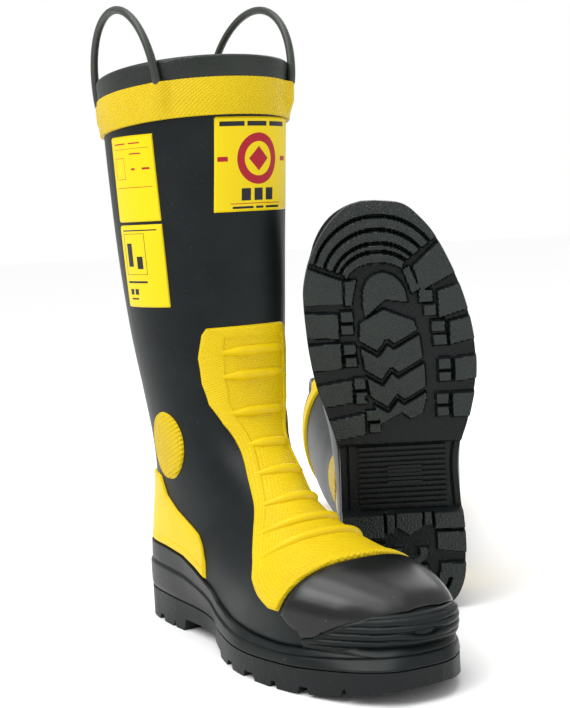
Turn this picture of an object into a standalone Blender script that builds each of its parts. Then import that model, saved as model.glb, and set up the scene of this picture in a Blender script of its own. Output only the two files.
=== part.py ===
"""A pair of rubber fire boots: the right boot stands on its sole, the left boot lies on its back.

Every piece is designed once, for the right boot, in the boot's own frame: the toe points
along -Y, the lateral (outer) side is -X, +Z is up and the sole rests on z = 0. Heights and
lengths in the tables are millimetres: a is the distance forward from the back of the heel,
s the distance to the lateral side and z the height. The left boot is the mirror image.
"""
import math

import bmesh
import bpy
import numpy as np
from mathutils import Matrix, Vector
from mathutils.bvhtree import BVHTree

MM = 0.001

# Where the two boots are. The pair's bounding box is centred on the origin, with z = 0 below.
RIGHT_PLACE = (-0.0608, -0.1108)
RIGHT_YAW = 29.4          # degrees, the standing boot's toe is turned out from -Y
LEFT_PLACE = (0.0717, -0.1295)
LEFT_TILT = 3.5           # degrees, the lying leg rises to its rim
LEFT_LIFT = 0.0599        # height of the left boot's own origin, 60 mm forward of its heel
FRAME_A = 60.0            # the boot frame's origin lies this far forward of the heel's back

SHELL_WALL = 3.0
GAP = 0.35                # running gap between pieces that touch
AROUND = 16               # points in a ring of the boot's form

# Sections of the boot's form, from the rim down the leg and along the foot:
# back or bottom point (a, z), front or top point (a, z), lateral and medial reach (s),
# height share of the widest place, squareness of the lower and of the upper half.
FORM = [
    (-20.0, 394, 124.0, 406, 67.0, 65.0, 0.0, 2.1, 2.1),
    (-17.5, 330, 119.5, 340, 64.0, 62.0, 0.0, 2.1, 2.1),
    (-13.0, 270, 114.5, 278, 60.5, 59.0, 0.0, 2.1, 2.1),
    (-6.0, 215, 112.5, 222, 56.0, 55.0, 0.0, 2.1, 2.1),
    (2.5, 168, 113.5, 184, 51.0, 50.0, 0.0, 2.1, 2.1),
    (8.0, 130, 119.0, 158, 47.0, 46.0, 0.0, 2.2, 2.1),
    (8.5, 98, 130.0, 139, 45.0, 44.0, -0.10, 2.3, 2.1),
    (4.0, 64, 147.0, 123, 44.5, 43.5, -0.25, 2.6, 2.1),
    (9.0, 34, 165.0, 109, 45.0, 43.5, -0.40, 3.2, 2.1),
    (60.0, 31, 183.0, 97.5, 46.0, 45.0, -0.45, 3.6, 2.2),
    (120.0, 25, 202.0, 88.5, 47.0, 49.0, -0.45, 4.0, 2.3),
    (175.0, 21, 222.0, 81.5, 51.0, 55.0, -0.40, 4.0, 2.4),
    (225.0, 21, 242.0, 76, 47.0, 59.0, -0.35, 4.0, 2.6),
    (258.0, 24, 262.0, 69, 31.0, 55.0, -0.25, 4.0, 2.6),
    (280.0, 29, 281.0, 60.5, 12.0, 46.0, -0.15, 4.0, 2.6),
    (293.0, 35, 293.0, 50.5, -3.0, 32.0, -0.05, 4.0, 2.6),
]
FORM_STEPS = [0, 1, 2, 3, 4, 4.7, 5.4, 6, 6.6, 7.2, 7.8, 8.5, 9.2, 10, 11, 12, 12.6, 13.2, 13.8, 14.4, 15]
NOSE = 5.0                # how far the rounded nose stands in front of the last section

# The textile lining's sections, inside the shell, toe cap, counter and sole plates.
LINING = [
    (-15.2, 393.4, 119.2, 404.6, 62.4, 60.4, 0.0, 2.1, 2.1),
    (-12.7, 330, 114.7, 339.5, 59.4, 57.4, 0.0, 2.1, 2.1),
    (-8.2, 270, 109.7, 278, 55.9, 54.4, 0.0, 2.1, 2.1),
    (-1.2, 215, 107.7, 222, 51.4, 50.4, 0.0, 2.1, 2.1),
    (7.3, 168, 108.7, 184, 46.4, 45.4, 0.0, 2.1, 2.1),
    (13.8, 130, 113.8, 157, 42.0, 41.0, 0.0, 2.2, 2.1),
    (14.8, 98, 124.5, 137, 39.5, 38.5, -0.10, 2.3, 2.1),
    (11.0, 66, 141.0, 118.5, 38.5, 37.5, -0.25, 2.6, 2.1),
    (16.0, 43.5, 159.0, 103, 39.0, 37.5, -0.40, 3.2, 2.1),
    (62.0, 40.5, 177.5, 91.5, 40.0, 39.0, -0.45, 3.6, 2.2),
    (121.0, 34.5, 196.5, 82.5, 41.0, 43.0, -0.45, 4.0, 2.3),
    (175.0, 30.5, 216.5, 75.5, 45.0, 49.0, -0.40, 4.0, 2.4),
    (224.0, 30.5, 235.5, 69.5, 40.5, 52.5, -0.35, 4.0, 2.6),
    (254.0, 33.5, 254.0, 62.5, 25.0, 48.5, -0.25, 4.0, 2.6),
    (270.0, 38, 270.0, 55, 9.0, 40.0, -0.15, 4.0, 2.6),
]
LINING_STEPS = [0, 1, 2, 3, 4, 5, 6, 6.8, 7.6, 8.5, 10, 11, 12, 13, 14]
LINING_WALL = 1.2

# Half outlines of the sole seen from below: (a, s).
SOLE_LATERAL = [(303, -12), (299, 6), (290, 15), (276, 26), (248, 41), (222, 52), (196, 56.3), (171, 56),
                (143, 50), (126, 44.5), (109, 42), (85, 43), (60, 45), (40, 45), (22, 43), (8, 36), (0, 22)]
SOLE_MEDIAL = [(303, -20), (298.5, -33), (284, -48), (264, -59), (244, -64.7), (230, -65.3), (210, -64.3),
               (194, -62.9), (171, -58.8), (150, -52), (126, -45), (109, -44.2), (85, -44.6), (60, -45),
               (40, -45), (22, -43), (8, -36), (0, -22)]
HEEL_BREAST = 76.0        # the heel ends and the raised waist starts
TREAD_START = 126.0       # the waist ends and the forefoot tread starts
WAIST_RISE = 9.0
SPRING_START = 215.0      # in front of this the sole curves up
SPRING_LENGTH = 88.0
TOE_SPRING = 11.0
WELT_LINE = [(0, 22), (50, 22), (90, 20.5), (140, 17), (190, 16), (240, 17), (303, 22)]
RAND_LINE = [(0, 60), (56, 59), (84, 57), (102, 52.6), (120, 46.9), (129, 44), (140, 37.4), (160, 31.5),
             (190, 28), (225, 28), (250, 29.5), (303, 34)]

# Trim outlines seen from the side: (a, z).
GUARD_EDGE = [(106, 222.5), (103.3, 215), (101.2, 200), (102.3, 182), (106, 167), (114, 153), (124, 139.4),
              (134.5, 126), (147.5, 109), (161, 92.7), (175.5, 74.6), (189, 61.5), (204, 54), (217, 49.8),
              (226, 49.8), (231, 55.5), (234, 63.6), (236, 72.4), (234.5, 80)]
TOE_COVER_EDGE = [(235.3, 80), (236.9, 72.4), (234.9, 63.4), (231.8, 55), (228, 49.6), (243, 34.5)]
BUMPER_TOP = [(243, 33.7), (252, 36), (260, 41), (273, 47), (288, 52), (310, 53)]
HEEL_WING = [(30, 113), (52.6, 112.6), (61, 98.3), (75, 89.4), (89.5, 82.8), (106, 76.2), (116.5, 67.2),
             (121.4, 55), (121.4, 47.4), (102.5, 53.4), (84, 58), (56, 60.2), (-20, 61.2), (-20, 113)]
ANKLE_DISC = (69, 136, 19.5, 25)          # centre a, z and half sizes
STRIP_HALF_WIDTH = 11.0
STRIP_TOP = 191.0
BAND_TOP = 13.3           # below the rim
BAND_DEPTH = 25.0
LABEL_HALF_WIDTH = 35.0
FRONT_LABEL_TURN = -11.5  # degrees towards the inner side
LABEL_RANGE = (300.0, 364.5)
SIDE_LABELS = {"side_label_upper": (296.5, 357), "side_label_lower": (236, 295)}
SIDE_LABEL_TURN = 19.0    # degrees forward of the lateral direction
SIDE_LABEL_HALF_WIDTH = 22.5

# Pull loops: rubber rods that stand on the band, on both sides of the leg.
TONGUE_OVERLAP = 2.0
LOOP_ROD = 5.5
LOOP_SPREAD = 42.0        # degrees from the side direction to each leg
LOOP_STANDOFF = 5.6       # from the shell's skin to the rod's centre line
LOOP_HEIGHT = 62.0
LOOP_LEAN = {"lateral": 8.0, "medial": 6.0}
LOOP_POINTS = 15
TAB_SIZE = (9.0, 14.0, 13.0)              # width, radial room and height of a collar tongue
RIM_CENTRE = (52.0, 400.0)                # a and z of the middle of the rim
RIM_HALF = (72.0, 66.0)                   # half depth and half width of the rim
RIM_SLOPE = 12.0 / 144.0

COLOURS = {
    "black_rubber": (0.018, 0.020, 0.018, 0.45, 0.0),
    "sole_rubber": (0.022, 0.023, 0.021, 0.6, 0.0),
    "yellow_rubber": (0.80, 0.60, 0.01, 0.5, 0.0),
    "grey_rubber": (0.06, 0.07, 0.055, 0.5, 0.0),
    "yellow_print": (0.82, 0.66, 0.01, 0.35, 0.0),
    "lining_textile": (0.42, 0.40, 0.34, 0.9, 0.0),
    "board": (0.35, 0.27, 0.18, 0.85, 0.0),
    "foam": (0.10, 0.10, 0.11, 0.9, 0.0),
    "steel": (0.55, 0.56, 0.57, 0.35, 1.0),
}


def clear_scene():
    """Empty the file before building."""
    for thing in list(bpy.data.objects):
        bpy.data.objects.remove(thing, do_unlink=True)
    for group in list(bpy.data.collections):
        bpy.data.collections.remove(group)


def collection(name):
    """A new collection under the scene's own."""
    group = bpy.data.collections.new(name)
    bpy.context.scene.collection.children.link(group)
    return group


def material(name):
    """A Principled material with one of the boot's finishes."""
    found = bpy.data.materials.get(name)
    if found:
        return found
    red, green, blue, roughness, metallic = COLOURS[name.split(".")[0]]
    made = bpy.data.materials.new(name)
    made.use_nodes = True
    shader = made.node_tree.nodes["Principled BSDF"]
    shader.inputs["Base Color"].default_value = (red, green, blue, 1)
    shader.inputs["Roughness"].default_value = roughness
    shader.inputs["Metallic"].default_value = metallic
    made.diffuse_color = (red, green, blue, 1)
    return made


def place(a, s, z):
    """A point of the boot frame from the distances in millimetres."""
    return Vector((-s * MM, -(a - FRAME_A) * MM, z * MM))


def curve_through(values, at):
    """Catmull-Rom curve through evenly numbered values."""
    values = np.asarray(values, float)
    last = len(values) - 1
    i = min(int(at), last - 1)
    x = at - i
    before = values[i - 1] if i > 0 else 2 * values[0] - values[1]
    after = values[i + 2] if i + 2 <= last else 2 * values[last] - values[last - 1]
    p, q = values[i], values[i + 1]
    return 0.5 * (2 * p + (q - before) * x + (2 * before - 5 * p + 4 * q - after) * x * x
                  + (3 * p - before - 3 * q + after) * x ** 3)


def read_line(line, a):
    """Height of a side-view line at distance a."""
    return float(np.interp(a, [p[0] for p in line], [p[1] for p in line]))


def section_points(row, count=AROUND):
    """One closed section of the form: a rounded outline between its back and its front point."""
    back_a, back_z, front_a, front_z, lateral, medial, widest, low, high = row
    centre, reach = (lateral - medial) / 2, (lateral + medial) / 2
    points = []
    for k in range(count):
        turn = 2 * math.pi * k / count
        c, s = math.cos(turn), math.sin(turn)
        power = 2 / (low if c > 0 else high)
        along = abs(c) ** power
        share = widest - (1 + widest) * along if c > 0 else widest + (1 - widest) * along
        mix = (1 + share) / 2
        points.append(place(back_a + (front_a - back_a) * mix,
                            centre + reach * math.copysign(abs(s) ** power, s),
                            back_z + (front_z - back_z) * mix))
    return points


def lofted(name, table, steps, nose):
    """The open skin through a table of sections, closed at the toe by a rounded nose."""
    form = bmesh.new()
    rings = [[form.verts.new(p) for p in section_points(curve_through(table, t))] for t in steps]
    for upper, lower in zip(rings, rings[1:]):
        for k in range(AROUND):
            n = (k + 1) % AROUND
            form.faces.new((upper[k], lower[k], lower[n], upper[n]))
    bmesh.ops.triangulate(form, faces=form.faces[:])
    middle = sum((v.co for v in rings[-1]), Vector()) / AROUND
    tip = form.verts.new(middle + Vector((0, -nose * MM, 0)))
    for k in range(AROUND):
        form.faces.new((rings[-1][(k + 1) % AROUND], rings[-1][k], tip))
    mesh = bpy.data.meshes.new(name)
    form.normal_update()
    form.to_mesh(mesh)
    form.free()
    return mesh


def new_object(name, mesh, finish=None):
    """An object for a piece, or, with no finish, for a cutter."""
    made = bpy.data.objects.new(name, mesh)
    if finish:
        mesh.materials.clear()
        mesh.materials.append(material(finish))
        parts.objects.link(made)
    else:
        cutters.objects.link(made)
        made.hide_render = True
        made.display_type = "WIRE"
    return made


def thicken(thing, lift, wall):
    """Move the skin out by lift and give it a wall, outward if positive, inward if negative."""
    if lift:
        shift = thing.modifiers.new("lift", "DISPLACE")
        shift.mid_level = 0
        shift.strength = lift * MM
    solid = thing.modifiers.new("wall", "SOLIDIFY")
    solid.thickness = abs(wall) * MM
    solid.offset = math.copysign(1, wall)
    solid.use_even_offset = True
    return thing


def layer(name, finish, lift, wall):
    """A piece that follows the boot's skin."""
    return thicken(new_object(name, form_mesh.copy(), finish), lift, wall)


def solid_form(name, table, steps, nose, lift):
    """A closed solid of a form, grown or shrunk by lift, used only to cut."""
    mesh = lofted(name, table, steps, nose)
    form = bmesh.new()
    form.from_mesh(mesh)
    bmesh.ops.holes_fill(form, edges=form.edges[:], sides=0)
    bmesh.ops.recalc_face_normals(form, faces=form.faces[:])
    form.to_mesh(mesh)
    form.free()
    made = new_object(name, mesh)
    if lift:
        shift = made.modifiers.new("lift", "DISPLACE")
        shift.mid_level = 0
        shift.strength = lift * MM
    return made


def cut(thing, cutter, operation):
    """A Boolean modifier."""
    step = thing.modifiers.new(operation.lower(), "BOOLEAN")
    step.operation = operation
    step.solver = "EXACT"
    step.object = cutter
    return thing


def prism(name, outline, low, high, front=False):
    """A straight cutter through the boot from a flat outline.

    The outline is (a, z) and the cutter runs along X, or (s, z) and it runs along Y."""
    flat = bpy.data.curves.new(name, "CURVE")
    flat.dimensions = "2D"
    flat.fill_mode = "BOTH"
    flat.extrude = (high - low) / 2 * MM
    line = flat.splines.new("POLY")
    line.points.add(len(outline) - 1)
    line.use_cyclic_u = True
    for point, (u, z) in zip(line.points, outline):
        point.co = ((u - FRAME_A if not front else u) * MM, z * MM, 0, 1)
    shape = bpy.data.objects.new(name, flat)
    cutters.objects.link(shape)
    upright = Matrix.Rotation(math.radians(90), 4, "X")
    if front:
        turn = Matrix.Rotation(math.radians(180), 4, "Z")
        shift = Matrix.Translation((0, (low + high) / 2 * MM, 0))
    else:
        turn = Matrix.Rotation(math.radians(-90), 4, "Z")
        shift = Matrix.Translation(((low + high) / 2 * MM, 0, 0))
    shape.matrix_world = shift @ turn @ upright
    bpy.context.view_layer.update()
    evaluated = shape.evaluated_get(bpy.context.evaluated_depsgraph_get())
    mesh = bpy.data.meshes.new_from_object(evaluated)
    mesh.transform(shape.matrix_world)
    bpy.data.objects.remove(shape)
    bpy.data.curves.remove(flat)
    weld = bmesh.new()
    weld.from_mesh(mesh)
    bmesh.ops.remove_doubles(weld, verts=weld.verts[:], dist=1e-6)
    bmesh.ops.recalc_face_normals(weld, faces=weld.faces[:])
    weld.to_mesh(mesh)
    weld.free()
    return new_object(name, mesh)


def block(name, centre, size, turn=0.0):
    """A box cutter turned about the vertical."""
    cube = bmesh.new()
    bmesh.ops.create_cube(cube, size=1)
    matrix = Matrix.Translation(centre) @ Matrix.Rotation(turn, 4, "Z") @ Matrix.Diagonal((*size, 1))
    bmesh.ops.transform(cube, matrix=matrix, verts=cube.verts[:])
    mesh = bpy.data.meshes.new(name)
    cube.to_mesh(mesh)
    cube.free()
    return new_object(name, mesh)


def sole_width(a, inset):
    """Lateral and medial reach of the sole at a, moved in by inset."""
    lateral = sorted(SOLE_LATERAL)
    medial = sorted(SOLE_MEDIAL)
    return read_line(lateral, a) - inset, read_line(medial, a) + inset


def slab(name, finish, rows):
    """A solid through upright four-cornered sections: rows of (a, lateral, medial, low z, high z)."""
    form = bmesh.new()
    rings = []
    for a, lateral, medial, low, high in rows:
        corners = ((lateral, low), (medial, low), (medial, high), (lateral, high))
        rings.append([form.verts.new(place(a, s, z)) for s, z in corners])
    for one, two in zip(rings, rings[1:]):
        for k in range(4):
            form.faces.new((one[k], one[(k + 1) % 4], two[(k + 1) % 4], two[k]))
    form.faces.new(rings[0])
    form.faces.new(rings[-1])
    bmesh.ops.recalc_face_normals(form, faces=form.faces[:])
    bmesh.ops.triangulate(form, faces=form.faces[:])
    mesh = bpy.data.meshes.new(name)
    form.to_mesh(mesh)
    form.free()
    return new_object(name, mesh, finish)


def ground_line(a):
    """Underside of the sole: flat heel, raised waist, flat tread and toe spring."""
    if HEEL_BREAST < a < TREAD_START:
        return WAIST_RISE
    return TOE_SPRING * max(0.0, (a - SPRING_START) / SPRING_LENGTH) ** 2


def floor_line(a):
    """Lowest line of the form's foot."""
    foot = [(row[0], row[1]) for row in FORM[8:]]
    return read_line(foot, a)


def outsole():
    """One moulded rubber sole with its heel, waist and tread."""
    stops = sorted({p[0] for p in SOLE_LATERAL + SOLE_MEDIAL}
                   | {HEEL_BREAST, HEEL_BREAST + 0.5, TREAD_START - 0.5, TREAD_START, 256, 270, 292})
    rows = []
    for a in stops:
        lateral, medial = sole_width(a, 0)
        rows.append((a, lateral, medial, ground_line(a), read_line(WELT_LINE, a)))
    return slab("outsole", "sole_rubber", rows)


def midsole_filler():
    """The rubber wedge between the outsole and the shell's sole."""
    rows = []
    for a in (15, 24, 60, 110, 126, 150, 175, 200, 226, 246, 262, 276):
        lateral, medial = sole_width(a, 16)
        rows.append((a, lateral, medial, read_line(WELT_LINE, a) + GAP, 50))
    return cut(slab("midsole_filler", "sole_rubber", rows), grown_form, "DIFFERENCE")


def sole_plate(name, finish, span, inset, lift, wall, within):
    """A thin plate that follows the foot's lowest line."""
    start, end = span
    stops = [start + (end - start) * k / 9 for k in range(10)]
    rows = []
    for a in stops:
        lateral, medial = sole_width(a, inset)
        low = floor_line(a) + lift
        rows.append((a, lateral, medial, low, low + wall))
    return cut(slab(name, finish, rows), within, "INTERSECT")


def outline_loop(inset):
    """The sole's outline as one loop of (a, s, outward direction), moved in by inset."""
    loop = SOLE_LATERAL + SOLE_MEDIAL[::-1]
    moved = []
    for k, (a, s) in enumerate(loop):
        before, after = loop[k - 1], loop[(k + 1) % len(loop)]
        along = Vector((after[0] - before[0], after[1] - before[1])).normalized()
        out = Vector((along[1], -along[0]))
        moved.append((a - out[0] * inset, s - out[1] * inset, out))
    return moved


def rand():
    """The foxing strip: from the outsole's edge up to the skin, all round the foot."""
    outer, inner = outline_loop(1.2), outline_loop(10)
    form = bmesh.new()
    sections = []
    for (a, s, out), (inner_a, inner_s, _) in zip(outer, inner):
        reach = skin_reach(a, s, out, read_line(RAND_LINE, a)) + 2.4
        top_a, top_s = a + out[0] * reach, s + out[1] * reach
        lean = min(reach, 0) * 0.35
        middle_a, middle_s = a + out[0] * lean, s + out[1] * lean
        middle_z = 0.45 * read_line(WELT_LINE, middle_a) + 0.55 * read_line(RAND_LINE, middle_a)
        points = [(a, s, read_line(WELT_LINE, a) + GAP),
                  (middle_a, middle_s, middle_z),
                  (top_a, top_s, read_line(RAND_LINE, top_a)),
                  (inner_a, inner_s, read_line(RAND_LINE, inner_a)),
                  (inner_a, inner_s, read_line(WELT_LINE, inner_a) + GAP)]
        sections.append([form.verts.new(place(*p)) for p in points])
    for one, two in zip(sections, sections[1:] + sections[:1]):
        for k in range(5):
            form.faces.new((one[k], one[(k + 1) % 5], two[(k + 1) % 5], two[k]))
    bmesh.ops.recalc_face_normals(form, faces=form.faces[:])
    bmesh.ops.triangulate(form, faces=form.faces[:])
    mesh = bpy.data.meshes.new("rand")
    form.to_mesh(mesh)
    form.free()
    return cut(new_object("rand", mesh, "black_rubber"), grown_form, "DIFFERENCE")


def skin_reach(a, s, out, z):
    """Signed distance along out from the point (a, s) to the boot's skin at height z."""
    start = place(a + out[0] * 60, s + out[1] * 60, z)
    inward = Vector((out[1], out[0], 0))
    hit = skin_tree.ray_cast(start, inward)[0]
    return 60 - (hit - start).length / MM if hit else 0.0


def below_rim(drop):
    """Side-view line parallel to the rim, drop millimetres below it, across the whole leg."""
    middle_a, middle_z = RIM_CENTRE
    return [(a, middle_z + RIM_SLOPE * (a - middle_a) - drop) for a in (-60, 160)]


def rim_band(name, finish, lift, wall, top, bottom):
    """A ring round the leg between two lines parallel to the rim."""
    low, high = below_rim(bottom), below_rim(top)
    return cut(layer(name, finish, lift, wall), prism(name + "_cut", low + high[::-1], -90, 90), "INTERSECT")


def side_trim(name, finish, lift, wall, outline, low=-90, high=90):
    """A piece of skin inside an outline seen from the side."""
    return cut(layer(name, finish, lift, wall), prism(name + "_cut", outline, low, high), "INTERSECT")


def ellipse(centre_a, centre_z, half_a, half_z, count=24):
    """Points of an ellipse seen from the side."""
    turns = [2 * math.pi * k / count for k in range(count)]
    return [(centre_a + half_a * math.cos(t), centre_z + half_z * math.sin(t)) for t in turns]


def label(name, low, high, turn, half_width):
    """A flat-edged label on the leg, facing turn degrees from the toe to the lateral side."""
    piece = layer(name, "yellow_print", GAP, 0.9)
    size = (2 * half_width * MM, 0.08, (high - low) * MM)
    direction = Vector((-math.sin(turn), -math.cos(turn), 0))
    centre = place(RIM_CENTRE[0], 0, (low + high) / 2) + direction * 0.06
    return cut(piece, block(name + "_cut", centre, size, -turn), "INTERSECT")


def leg_spot(side, leg):
    """Where a loop's leg meets the leg of the boot: a, s and the outward direction (a, s)."""
    turn = math.radians(LOOP_SPREAD) * leg
    sign = 1 if side == "lateral" else -1
    a = RIM_CENTRE[0] + RIM_HALF[0] * math.sin(turn)
    s = sign * RIM_HALF[1] * math.cos(turn)
    out = Vector((math.sin(turn) / RIM_HALF[0], sign * math.cos(turn) / RIM_HALF[1])).normalized()
    reach = skin_reach(a, s, out, rim_height(a) - BAND_TOP)
    return a + out[0] * reach, s + out[1] * reach, out


def rim_height(a):
    """Height of the rim at distance a."""
    return RIM_CENTRE[1] + RIM_SLOPE * (a - RIM_CENTRE[0])


def tab_block(name, side, leg, margin):
    """The room of one of the collar's tongues, which holds a loop's leg behind the band."""
    a, s, out = leg_spot(side, leg)
    size = [(d + 2 * margin) * MM for d in TAB_SIZE]
    centre = place(a, s, rim_height(a) - BAND_TOP - TAB_SIZE[2] / 2 + TONGUE_OVERLAP)
    turn = math.atan2(-out[0], -out[1])
    return block(name, centre, (size[1], size[0], size[2]), turn)


def pull_loop(side):
    """A rubber rod bent over in half an ellipse, standing on the band."""
    feet = []
    for leg in (-1, 1):
        a, s, out = leg_spot(side, leg)
        feet.append((a + out[0] * LOOP_STANDOFF, s + out[1] * LOOP_STANDOFF, rim_height(a) - BAND_TOP + 0.4))
    sign = 1 if side == "lateral" else -1
    lean = math.tan(math.radians(LOOP_LEAN[side])) * sign
    wire = bpy.data.curves.new(f"{side}_pull_loop", "CURVE")
    wire.dimensions = "3D"
    wire.bevel_depth = LOOP_ROD / 2 * MM
    wire.bevel_resolution = 1
    wire.use_fill_caps = True
    line = wire.splines.new("POLY")
    line.points.add(LOOP_POINTS - 1)
    for k, point in enumerate(line.points):
        turn = math.pi * k / (LOOP_POINTS - 1)
        mix = (1 - math.cos(turn)) / 2
        rise = LOOP_HEIGHT * math.sin(turn)
        a, s, z = (feet[0][i] + (feet[1][i] - feet[0][i]) * mix for i in range(3))
        point.co = (*place(a, s + lean * rise, z + rise), 1)
    made = bpy.data.objects.new(f"{side}_pull_loop", wire)
    wire.materials.append(material("grey_rubber"))
    parts.objects.link(made)
    loop_roots[made.name] = Vector(place(*[(feet[0][i] + feet[1][i]) / 2 for i in range(3)]))
    return made


def guards():
    """The coloured guards on the instep, heel, back seam and ankles."""
    front = GUARD_EDGE + [(240, 110), (200, 160), (150, 222.5)]
    side_trim("front_guard", "yellow_rubber", GAP, 2.6, front)
    side_trim("heel_guard", "yellow_rubber", GAP, 1.9, HEEL_WING)
    strip = layer("back_strip", "yellow_rubber", GAP, 1.9)
    half = STRIP_HALF_WIDTH
    shape = [(-half, 113.6), (half, 113.6), (half, STRIP_TOP), (-half, STRIP_TOP)]
    cut(strip, prism("back_strip_cut", shape, 25, 120, front=True), "INTERSECT")
    for side, low, high in (("lateral", -90, -5), ("medial", 5, 90)):
        side_trim(f"{side}_ankle_disc", "yellow_rubber", GAP, 1.9, ellipse(*ANKLE_DISC), low, high)


def toe_pieces():
    """Toe cover, ribbed bumper, steel cap and the strip behind the cap."""
    lower = [(a, z + 0.5) for a, z in BUMPER_TOP]
    cover = TOE_COVER_EDGE[:-1] + lower + [(330, 54), (330, 100), (235, 100)]
    side_trim("toe_cover", "black_rubber", GAP, 1.9, cover)
    under = [(a, read_line(RAND_LINE, a) + 0.8) for a in (330, 303, 250, 243.5)]
    side_trim("toe_bumper", "black_rubber", GAP, 3.0, BUMPER_TOP + [(330, 53)] + under)
    cap = [(242, 38), (330, 38), (330, 100), (242, 100)]
    side_trim("steel_toe_cap", "steel", -(SHELL_WALL + GAP), -1.5, cap)
    strip = [(233, 38), (241.6, 38), (241.6, 100), (233, 100)]
    side_trim("toe_cap_strip", "grey_rubber", -(SHELL_WALL + GAP), -1.5, strip)


def inner_pieces():
    """Lining, counter and the plates under the foot."""
    lining = new_object("lining", lofted("lining", LINING, LINING_STEPS, 3.0), "lining_textile")
    thicken(lining, 0, -LINING_WALL)
    counter = [(-30, 58), (50, 58), (54, 66), (46, 96), (-30, 100)]
    side_trim("heel_counter", "board", -(SHELL_WALL + 2 * GAP), -1.4, counter)
    sole_plate("shank", "steel", (44, 150), 33, 3.5, 1.4, shell_room)
    sole_plate("steel_midsole", "steel", (30, 268), 14, 5.2, 0.9, shell_room)
    sole_plate("insole_board", "board", (30, 266), 14.5, 6.5, 1.3, shell_room)
    sole_plate("footbed", "foam", (24, 262), 12, 11.2, 4.5, lining_room)


def right_boot():
    """Every piece of the right boot, in the boot's own frame."""
    shell = new_object("upper_shell", form_mesh.copy(), "black_rubber")
    thicken(shell, 0, -SHELL_WALL)
    outsole()
    midsole_filler()
    rand()
    guards()
    toe_pieces()
    inner_pieces()
    ring = prism("collar_cut", below_rim(BAND_TOP - 0.5) + below_rim(0.6)[::-1], -90, 90)
    band = rim_band("top_band", "yellow_rubber", GAP, 2.4, BAND_TOP, BAND_TOP + BAND_DEPTH)
    label("front_label", *LABEL_RANGE, math.radians(FRONT_LABEL_TURN), LABEL_HALF_WIDTH)
    turn = math.radians(90 - SIDE_LABEL_TURN)
    for name, (low, high) in SIDE_LABELS.items():
        label(name, low, high, turn, SIDE_LABEL_HALF_WIDTH)
    for side in ("lateral", "medial"):
        for leg in (-1, 1):
            cut(ring, tab_block(f"{side}_tongue_{leg}", side, leg, 0), "UNION")
            cut(band, tab_block(f"{side}_notch_{leg}", side, leg, 0.4), "DIFFERENCE")
        pull_loop(side)
    cut(layer("rim_collar", "black_rubber", GAP, 1.5), ring, "INTERSECT")


def boot_frame(name, location, rotation):
    """The empty that carries one boot."""
    frame = bpy.data.objects.new(name, None)
    frame.location = location
    frame.rotation_euler = rotation
    parts.objects.link(frame)
    return frame


def place_pair():
    """Name the right boot's pieces, put them in place and add the mirrored left boot."""
    right = boot_frame("right_frame", (*RIGHT_PLACE, 0), (0, 0, math.radians(RIGHT_YAW)))
    left = boot_frame("left_frame", (*LEFT_PLACE, LEFT_LIFT), (math.radians(LEFT_TILT - 90), 0, 0))
    bpy.context.view_layer.update()
    depsgraph = bpy.context.evaluated_depsgraph_get()
    mirror = Matrix.Diagonal((-1, 1, 1, 1))
    for piece in [o for o in parts.objects if o.type != "EMPTY"]:
        name = piece.name
        mesh = bpy.data.meshes.new_from_object(piece.evaluated_get(depsgraph))
        if piece.type == "CURVE":
            weld_ends(mesh)
        root = loop_roots.get(name, Vector())
        mesh.transform(Matrix.Translation(-root))
        mirrored = mesh.copy()
        mirrored.transform(mirror)
        mirrored.flip_normals()
        bpy.data.objects.remove(piece)
        for side, frame, shape in (("right", right, mesh), ("left", left, mirrored)):
            made = new_object(f"{side}_{name}", shape, shape.materials[0].name)
            made.parent = frame
            made.location = root if side == "right" else mirror @ root


def weld_ends(mesh):
    """Join a curve's loose caps to its tube."""
    form = bmesh.new()
    form.from_mesh(mesh)
    bmesh.ops.remove_doubles(form, verts=form.verts[:], dist=1e-6)
    form.to_mesh(mesh)
    form.free()


clear_scene()
parts = collection("fire_boots")
loop_roots = {}  # where each pull loop bends
cutters = collection("cutters")
form_mesh = lofted("form", FORM, FORM_STEPS, NOSE)
grown_form = solid_form("grown_form", FORM, FORM_STEPS, NOSE, GAP)
shell_room = solid_form("shell_room", FORM, FORM_STEPS, NOSE, -(SHELL_WALL + 0.4))
lining_room = solid_form("lining_room", LINING, LINING_STEPS, 3.0, -(LINING_WALL + 0.4))
skin_tree = BVHTree.FromPolygons([v.co for v in form_mesh.vertices], [p.vertices for p in form_mesh.polygons])
right_boot()
place_pair()
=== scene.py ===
import math
import bmesh
import bpy
import numpy as np
from mathutils import Matrix, Vector
from mathutils.bvhtree import BVHTree


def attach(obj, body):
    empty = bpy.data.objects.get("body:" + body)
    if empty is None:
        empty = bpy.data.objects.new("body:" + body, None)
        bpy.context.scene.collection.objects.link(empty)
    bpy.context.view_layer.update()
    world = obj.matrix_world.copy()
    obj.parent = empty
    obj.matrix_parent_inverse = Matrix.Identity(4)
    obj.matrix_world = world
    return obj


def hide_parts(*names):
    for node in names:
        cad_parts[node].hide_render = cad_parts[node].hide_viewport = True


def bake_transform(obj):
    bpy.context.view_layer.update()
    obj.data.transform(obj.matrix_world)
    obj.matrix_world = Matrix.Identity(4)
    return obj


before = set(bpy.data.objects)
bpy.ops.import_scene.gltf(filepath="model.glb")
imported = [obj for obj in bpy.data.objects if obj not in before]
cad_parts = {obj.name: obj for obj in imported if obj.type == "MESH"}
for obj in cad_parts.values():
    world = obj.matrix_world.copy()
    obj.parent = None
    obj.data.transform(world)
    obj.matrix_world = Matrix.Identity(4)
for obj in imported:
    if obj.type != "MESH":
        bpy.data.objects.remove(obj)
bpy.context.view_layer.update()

# Millimetres in the boot's own frame: a forward from the back of the heel, s to the outer side, z up.
# Each piece is shaped once like this and then placed twice, as the right boot and mirrored as the left.
print("frame loaded")

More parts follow.
